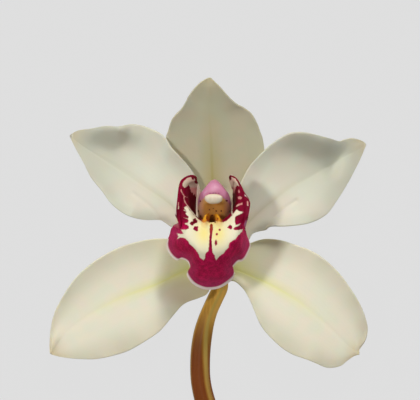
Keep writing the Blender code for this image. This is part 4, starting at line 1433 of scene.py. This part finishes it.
@dataclass
class Stalk:
    """The ribbed stalk, from the head of the ovary to its cut end, lying on a flat of its own."""

    sections: Line = ((4, -62, 14.6, 3.3), (4, -62, 14.0, 4.1), (4, -62.4, 12.2, 4.2),
                      (4.6, -65, 10.3, 3.8), (6.6, -70, 8.6, 3.3), (9.6, -78, 6.9, 2.9),
                      (10.4, -87, 5.5, 2.85), (5.2, -98.5, 4.5, 2.9), (0, -110, 3.6, 2.95),
                      (-3.9, -121, 3.05, 3.2), (-6.9, -133, 3.1, 3.5), (-9, -147, 3.2, 3.65),
                      (-9.9, -162, 3.25, 3.7), (-9.6, -177, 3.25, 3.7), (-7.7, -190, 3.3, 3.75),
                      (-4.2, -203, 3.3, 3.8), (2.6, -220, 3.2, 3.5), (10.7, -238, 3.0, 3.2))
    path_points: int = 200
    profile_points: int = 96
    rib_count: int = 6
    furrow_depth: float = 0.07
    bundle_count: int = 12
    bundle_ring_mm: float = 1.9
    bundle_mm: float = 0.24
    bundle_rise_mm: float = 0.03
    bundle_part: float = 0.4
    inner_ring: float = 0.5
    rim_mm: float = 0.3
    hollow_mm: float = 0.12

    def build(self, skin: bpy.types.Material, flesh: bpy.types.Material) -> None:
        """Builds the stalk and the bundles on its cut face.

        Args:
            skin: the stalk's finish.
            flesh: the finish of the cut face.
        """
        path = through(self.sections, np.linspace(0, len(self.sections) - 1, self.path_points))
        middle = PLAN.place(path[:, :2], path[:, 2])
        self.build_stem(middle, path[:, 3], skin, flesh)
        self.build_bundles(middle, flesh)

    def build_stem(
        self, middle: np.ndarray, girth: np.ndarray, skin: bpy.types.Material, flesh: bpy.types.Material
    ) -> bpy.types.Object:
        """Sweeps a ribbed profile along the path.

        Args:
            middle: the path's points.
            girth: the radius at each, in millimetres.
            skin: the finish of its side.
            flesh: the finish of its cut face.

        Returns:
            The piece.
        """
        mesh = bpy.data.meshes.new("stalk_path")
        mesh.from_pydata(middle.tolist(), [(i, i + 1) for i in range(len(middle) - 1)], [])
        set_values(mesh, "girth", girth * MM)
        tree, inputs = start_tree("ribbed_stalk", {
            "Profile points": self.profile_points,
            "Ribs": float(self.rib_count),
            "Furrow depth": self.furrow_depth,
        })
        given = tree.nodes.new("NodeGroupInput").outputs
        turn = add_node(tree, "GeometryNodeSplineParameter")
        angle = tree_maths(tree, "MULTIPLY", tree_maths(tree, "MULTIPLY", turn, given["Ribs"]), 2 * math.pi)
        wave = tree_maths(tree, "COSINE", angle)
        furrow = add_node(tree, "ShaderNodeMapRange", {}, {
            "Value": wave, "From Min": -1.0, "From Max": 1.0, "To Min": 0.0, "To Max": given["Furrow depth"],
        })
        size = tree_maths(tree, "SUBTRACT", 1.0, furrow)
        place = add_node(tree, "GeometryNodeInputPosition")
        drawn_out = add_node(tree, "ShaderNodeVectorMath", {"operation": "SCALE"}, {0: place, "Scale": size})
        circle = add_node(tree, "GeometryNodeCurvePrimitiveCircle", {}, {
            "Resolution": given["Profile points"], "Radius": 1.0,
        })
        profile = add_node(tree, "GeometryNodeSetPosition", {}, {"Geometry": circle, "Position": drawn_out})
        curve = add_node(tree, "GeometryNodeMeshToCurve", {}, {"Mesh": given["Start"]})
        wide = add_node(tree, "GeometryNodeInputNamedAttribute", {"data_type": "FLOAT"}, {"Name": "girth"})
        swept = add_node(tree, "GeometryNodeCurveToMesh", {}, {
            "Curve": curve, "Profile Curve": profile, "Scale": wide, "Fill Caps": True,
        })
        parts = add_node(tree, "ShaderNodeSeparateXYZ", {}, {0: place}).node.outputs
        above = tree_maths(tree, "MAXIMUM", parts["Z"])
        laid = add_node(tree, "ShaderNodeCombineXYZ", {}, {"X": parts["X"], "Y": parts["Y"], "Z": above})
        lying = add_node(tree, "GeometryNodeSetPosition", {}, {"Geometry": swept, "Position": laid})
        end_tree(tree, lying, skin)
        stem = baked("stalk_skin", mesh, tree, inputs)
        self.finish_stem(stem, middle, girth, flesh)
        hand_over(stem, "pedicel")
        return stem

    def finish_stem(
        self, stem: bpy.types.Object, middle: np.ndarray, girth: np.ndarray, flesh: bpy.types.Material
    ) -> None:
        """Sinks the cut face inside a rim of skin, and gives the points their places along and across.

        Args:
            stem: the swept stalk.
            middle: the path's points.
            girth: the radius at each, in millimetres.
            flesh: the finish of the cut face.
        """
        stem.data.materials.append(flesh)
        shape = bmesh.new()
        shape.from_mesh(stem.data)
        shape.faces.ensure_lookup_table()
        ends = [face for face in shape.faces if len(face.verts) > 4]
        cut = min(ends, key=lambda face: face.calc_center_median().y)
        bmesh.ops.inset_region(shape, faces=[cut], thickness=self.rim_mm * MM, depth=-self.hollow_mm * MM)
        cut.material_index = 1
        turn_outward(shape)
        shape.to_mesh(stem.data)
        shape.free()
        points = np.empty(len(stem.data.vertices) * 3, np.float32)
        stem.data.vertices.foreach_get("co", points)
        points = points.reshape(-1, 3)
        nearest = np.array([int(np.argmin(((middle - point) ** 2).sum(1))) for point in points])
        ahead = np.gradient(middle, axis=0)
        aside = np.stack([-ahead[:, 1], ahead[:, 0]], axis=-1)
        aside /= np.maximum(np.linalg.norm(aside, axis=1, keepdims=True), 1e-9)
        aside[np.abs(ahead[:, 2]) > np.abs(ahead[:, 1])] = (1, 0)
        over = ((points - middle[nearest])[:, :2] * aside[nearest]).sum(1) / (girth[nearest] * MM)
        set_values(stem.data, "along", nearest / (len(middle) - 1))
        set_values(stem.data, "across", over)
        stem.data.shade_smooth()

    def build_bundles(self, middle: np.ndarray, material: bpy.types.Material) -> bpy.types.Object:
        """Sets a ring of vascular bundles, and a smaller one inside it, on the cut face.

        Args:
            middle: the path's points.
            material: their finish.

        Returns:
            The piece.
        """
        tree, inputs = start_tree("vascular_bundles", {
            "Bundles": self.bundle_count,
            "Ring radius": self.bundle_ring_mm * MM,
            "Bundle radius": self.bundle_mm * MM,
        })
        given = tree.nodes.new("NodeGroupInput").outputs
        rings = tree.nodes.new("GeometryNodeJoinGeometry")
        for part in (1.0, self.inner_ring):
            count = tree_maths(tree, "MULTIPLY", given["Bundles"], part)
            radius = tree_maths(tree, "MULTIPLY", given["Ring radius"], part)
            ring = add_node(tree, "GeometryNodeMeshCircle", {}, {"Vertices": count, "Radius": radius})
            tree.links.new(ring, rings.inputs[0])
        bead = add_node(tree, "GeometryNodeMeshIcoSphere", {}, {
            "Radius": given["Bundle radius"], "Subdivisions": 3,
        })
        placed = add_node(tree, "GeometryNodeInstanceOnPoints", {}, {
            "Points": rings.outputs[0], "Instance": bead, "Scale": (1.0, 1.0, self.bundle_part),
        })
        end_tree(tree, placed, material)
        beads = baked("stalk_bundles", bpy.data.meshes.new("stalk_bundles_start"), tree, inputs)
        ahead = Vector(middle[-1] - middle[-2]).normalized()
        end = Vector(middle[-1]) - ahead * (self.hollow_mm - self.bundle_rise_mm) * MM
        turn = ahead.to_track_quat("Z", "Y").to_matrix().to_4x4()
        beads.data.transform(Matrix.Translation(end) @ turn)
        beads.data.shade_smooth()
        hand_over(beads, "pedicel")
        return beads


def start_tree(name: str, given: dict[str, float]) -> tuple[bpy.types.NodeTree, dict[str, float]]:
    """Starts a geometry tree, with a number input for each value given.

    Args:
        name: the tree's name.
        given: for the name of each input, its value.

    Returns:
        The tree, and for the identifier of each input its value.
    """
    tree = bpy.data.node_groups.new(name, "GeometryNodeTree")
    tree.interface.new_socket("Start", in_out="INPUT", socket_type="NodeSocketGeometry")
    inputs = {}
    for label, value in given.items():
        kind = "NodeSocketInt" if isinstance(value, int) else "NodeSocketFloat"
        inputs[tree.interface.new_socket(label, in_out="INPUT", socket_type=kind).identifier] = value
    tree.interface.new_socket("Result", in_out="OUTPUT", socket_type="NodeSocketGeometry")
    return tree, inputs


def tree_maths(
    tree: bpy.types.NodeTree, kind: str, first: object, second: object = 0.0
) -> bpy.types.NodeSocket:
    """Works out a number from others in a geometry tree."""
    return add_node(tree, "ShaderNodeMath", {"operation": kind}, {0: first, 1: second})


def end_tree(tree: bpy.types.NodeTree, shape: bpy.types.NodeSocket, material: bpy.types.Material) -> None:
    """Ends a geometry tree in plain meshes with their finish."""
    real = add_node(tree, "GeometryNodeRealizeInstances", {}, {"Geometry": shape})
    dressed = add_node(tree, "GeometryNodeSetMaterial", {}, {"Geometry": real, "Material": material})
    add_node(tree, "NodeGroupOutput", {}, {"Result": dressed})


def baked(
    name: str, start: bpy.types.Mesh, tree: bpy.types.NodeTree, inputs: dict[str, float]
) -> bpy.types.Object:
    """Runs a geometry tree on a mesh and keeps the result as a plain mesh.

    Args:
        name: the piece's name.
        start: the mesh that the tree works on.
        tree: the tree.
        inputs: for the identifier of each of its inputs, its value.

    Returns:
        The object, with no modifier left on it.
    """
    piece = new_object(name, start)
    modifier = piece.modifiers.new(tree.name, "NODES")
    modifier.node_group = tree
    for identifier, value in inputs.items():
        modifier[identifier] = value
    graph = bpy.context.evaluated_depsgraph_get()
    mesh = bpy.data.meshes.new_from_object(piece.evaluated_get(graph))
    piece.modifiers.clear()
    piece.data = mesh
    mesh.name = name
    bpy.data.meshes.remove(start)
    return piece


# The studio


@dataclass(frozen=True)
class Lamp:
    """A white softbox: where it stands, as seen from the bloom, its size and its power."""

    name: str
    azimuth: float
    elevation: float
    size: float
    power: float


@dataclass
class Studio:
    """A pale table, soft lamps and the camera straight above the bloom."""

    picture_steps: float = 420.0
    sensor_mm: float = 36.0
    floor_size: float = 6.0
    floor_colour: str = "#DFDFDF"
    floor_glow: float = 0.983
    paper_grain_mm: float = 1.5
    paper_dark: str = "#000000"
    paper_light: str = "#1A1A1A"
    sky_low: float = 0.38
    sky_high: float = 0.20
    lamp_distance: float = 1.2
    lamps: tuple[Lamp, ...] = (
        Lamp("lamp_left", azimuth=-77, elevation=58, size=0.18, power=5.9),
        Lamp("lamp_right", azimuth=62, elevation=50, size=0.7, power=1.3),
        Lamp("lamp_top", azimuth=13, elevation=44, size=0.2, power=6.7),
    )

    def build(self) -> None:
        """Builds the studio."""
        self.build_camera()
        self.build_floor()
        self.build_sky()
        for lamp in self.lamps:
            self.build_lamp(lamp)
        bpy.context.scene.view_settings.view_transform = "Standard"
        bpy.context.scene.view_settings.look = "None"

    def build_camera(self) -> None:
        """Puts the camera at the height that the plan is drawn for, with its width across the picture."""
        data = bpy.data.cameras.new("camera")
        data.sensor_fit = "HORIZONTAL"
        data.sensor_width = self.sensor_mm
        picture_mm = self.picture_steps * PLAN.step_mm
        data.lens = self.sensor_mm * (PLAN.eye_mm - PLAN.height_mm) / picture_mm
        data.clip_start = 0.01
        camera = new_object("camera", data)
        camera.location = (*PLAN.line_of_sight, PLAN.eye_mm * MM)
        bpy.context.scene.camera = camera

    def build_floor(self) -> None:
        """Lays a pale tabletop that glows a little, as a lit sweep of paper does."""
        half = self.floor_size / 2
        corners = [(-half, -half, 0), (half, -half, 0), (half, half, 0), (-half, half, 0)]
        mesh = bpy.data.meshes.new("tabletop")
        mesh.from_pydata(corners, [], [(0, 1, 2, 3)])
        floor = new_object("tabletop", mesh)
        paper = Finish("lit_paper")
        rough = paper.ramp(paper.grain(self.paper_grain_mm, 2.0), 0.0, 1.0, 0.97, 1.0)
        shade = paper.blend(rough, self.paper_dark, self.paper_light)
        shader = paper.add("BsdfPrincipled", {}, {
            "Base Color": shade, "Roughness": 0.9, "Specular IOR Level": 0.0,
            "Emission Color": self.floor_colour, "Emission Strength": self.floor_glow,
        }, output="BSDF")
        paper.add("OutputMaterial", {}, {"Surface": shader})
        mesh.materials.append(paper.material)

    def build_sky(self) -> None:
        """Lights the air round the table, brightest low down."""
        world = bpy.data.worlds.new("studio_air")
        bpy.context.scene.world = world
        world.use_nodes = True
        tree = world.node_tree
        tree.nodes.clear()
        way = add_node(tree, "ShaderNodeTexCoord", output="Generated")
        up = add_node(tree, "ShaderNodeSeparateXYZ", {}, {0: way}, "Z")
        strength = add_node(tree, "ShaderNodeMapRange", {"interpolation_type": "SMOOTHSTEP"}, {
            "Value": up, "From Min": 0.05, "From Max": 0.3, "To Min": self.sky_low, "To Max": self.sky_high,
        })
        air = add_node(tree, "ShaderNodeBackground", {}, {"Color": "#FFFFFF", "Strength": strength})
        add_node(tree, "ShaderNodeOutputWorld", {}, {"Surface": air})

    def build_lamp(self, lamp: Lamp) -> None:
        """Hangs one softbox that faces the bloom."""
        data = bpy.data.lights.new(lamp.name, "AREA")
        data.shape = "DISK"
        data.size = lamp.size
        data.energy = lamp.power
        turn, rise = math.radians(lamp.azimuth), math.radians(lamp.elevation)
        way = Vector((math.sin(turn) * math.cos(rise), math.cos(turn) * math.cos(rise), math.sin(rise)))
        light = new_object(lamp.name, data)
        middle = Vector((*PLAN.line_of_sight, PLAN.height_mm * MM))
        light.location = middle + way * self.lamp_distance
        light.rotation_euler = way.to_track_quat("Z", "Y").to_euler()
        light.visible_camera = False


def main() -> None:
    """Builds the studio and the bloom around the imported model."""
    logging.basicConfig(level=logging.INFO, format="%(name)s: %(message)s")
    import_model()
    Studio().build()
    Perianth().build()
    Lip().build(VelvetLip().make())
    Column().build(ColumnTissue().make(), CapTissue().make())
    Stalk().build(StalkSkin().make(), CutFlesh().make())


if __name__ == "__main__":
    main()
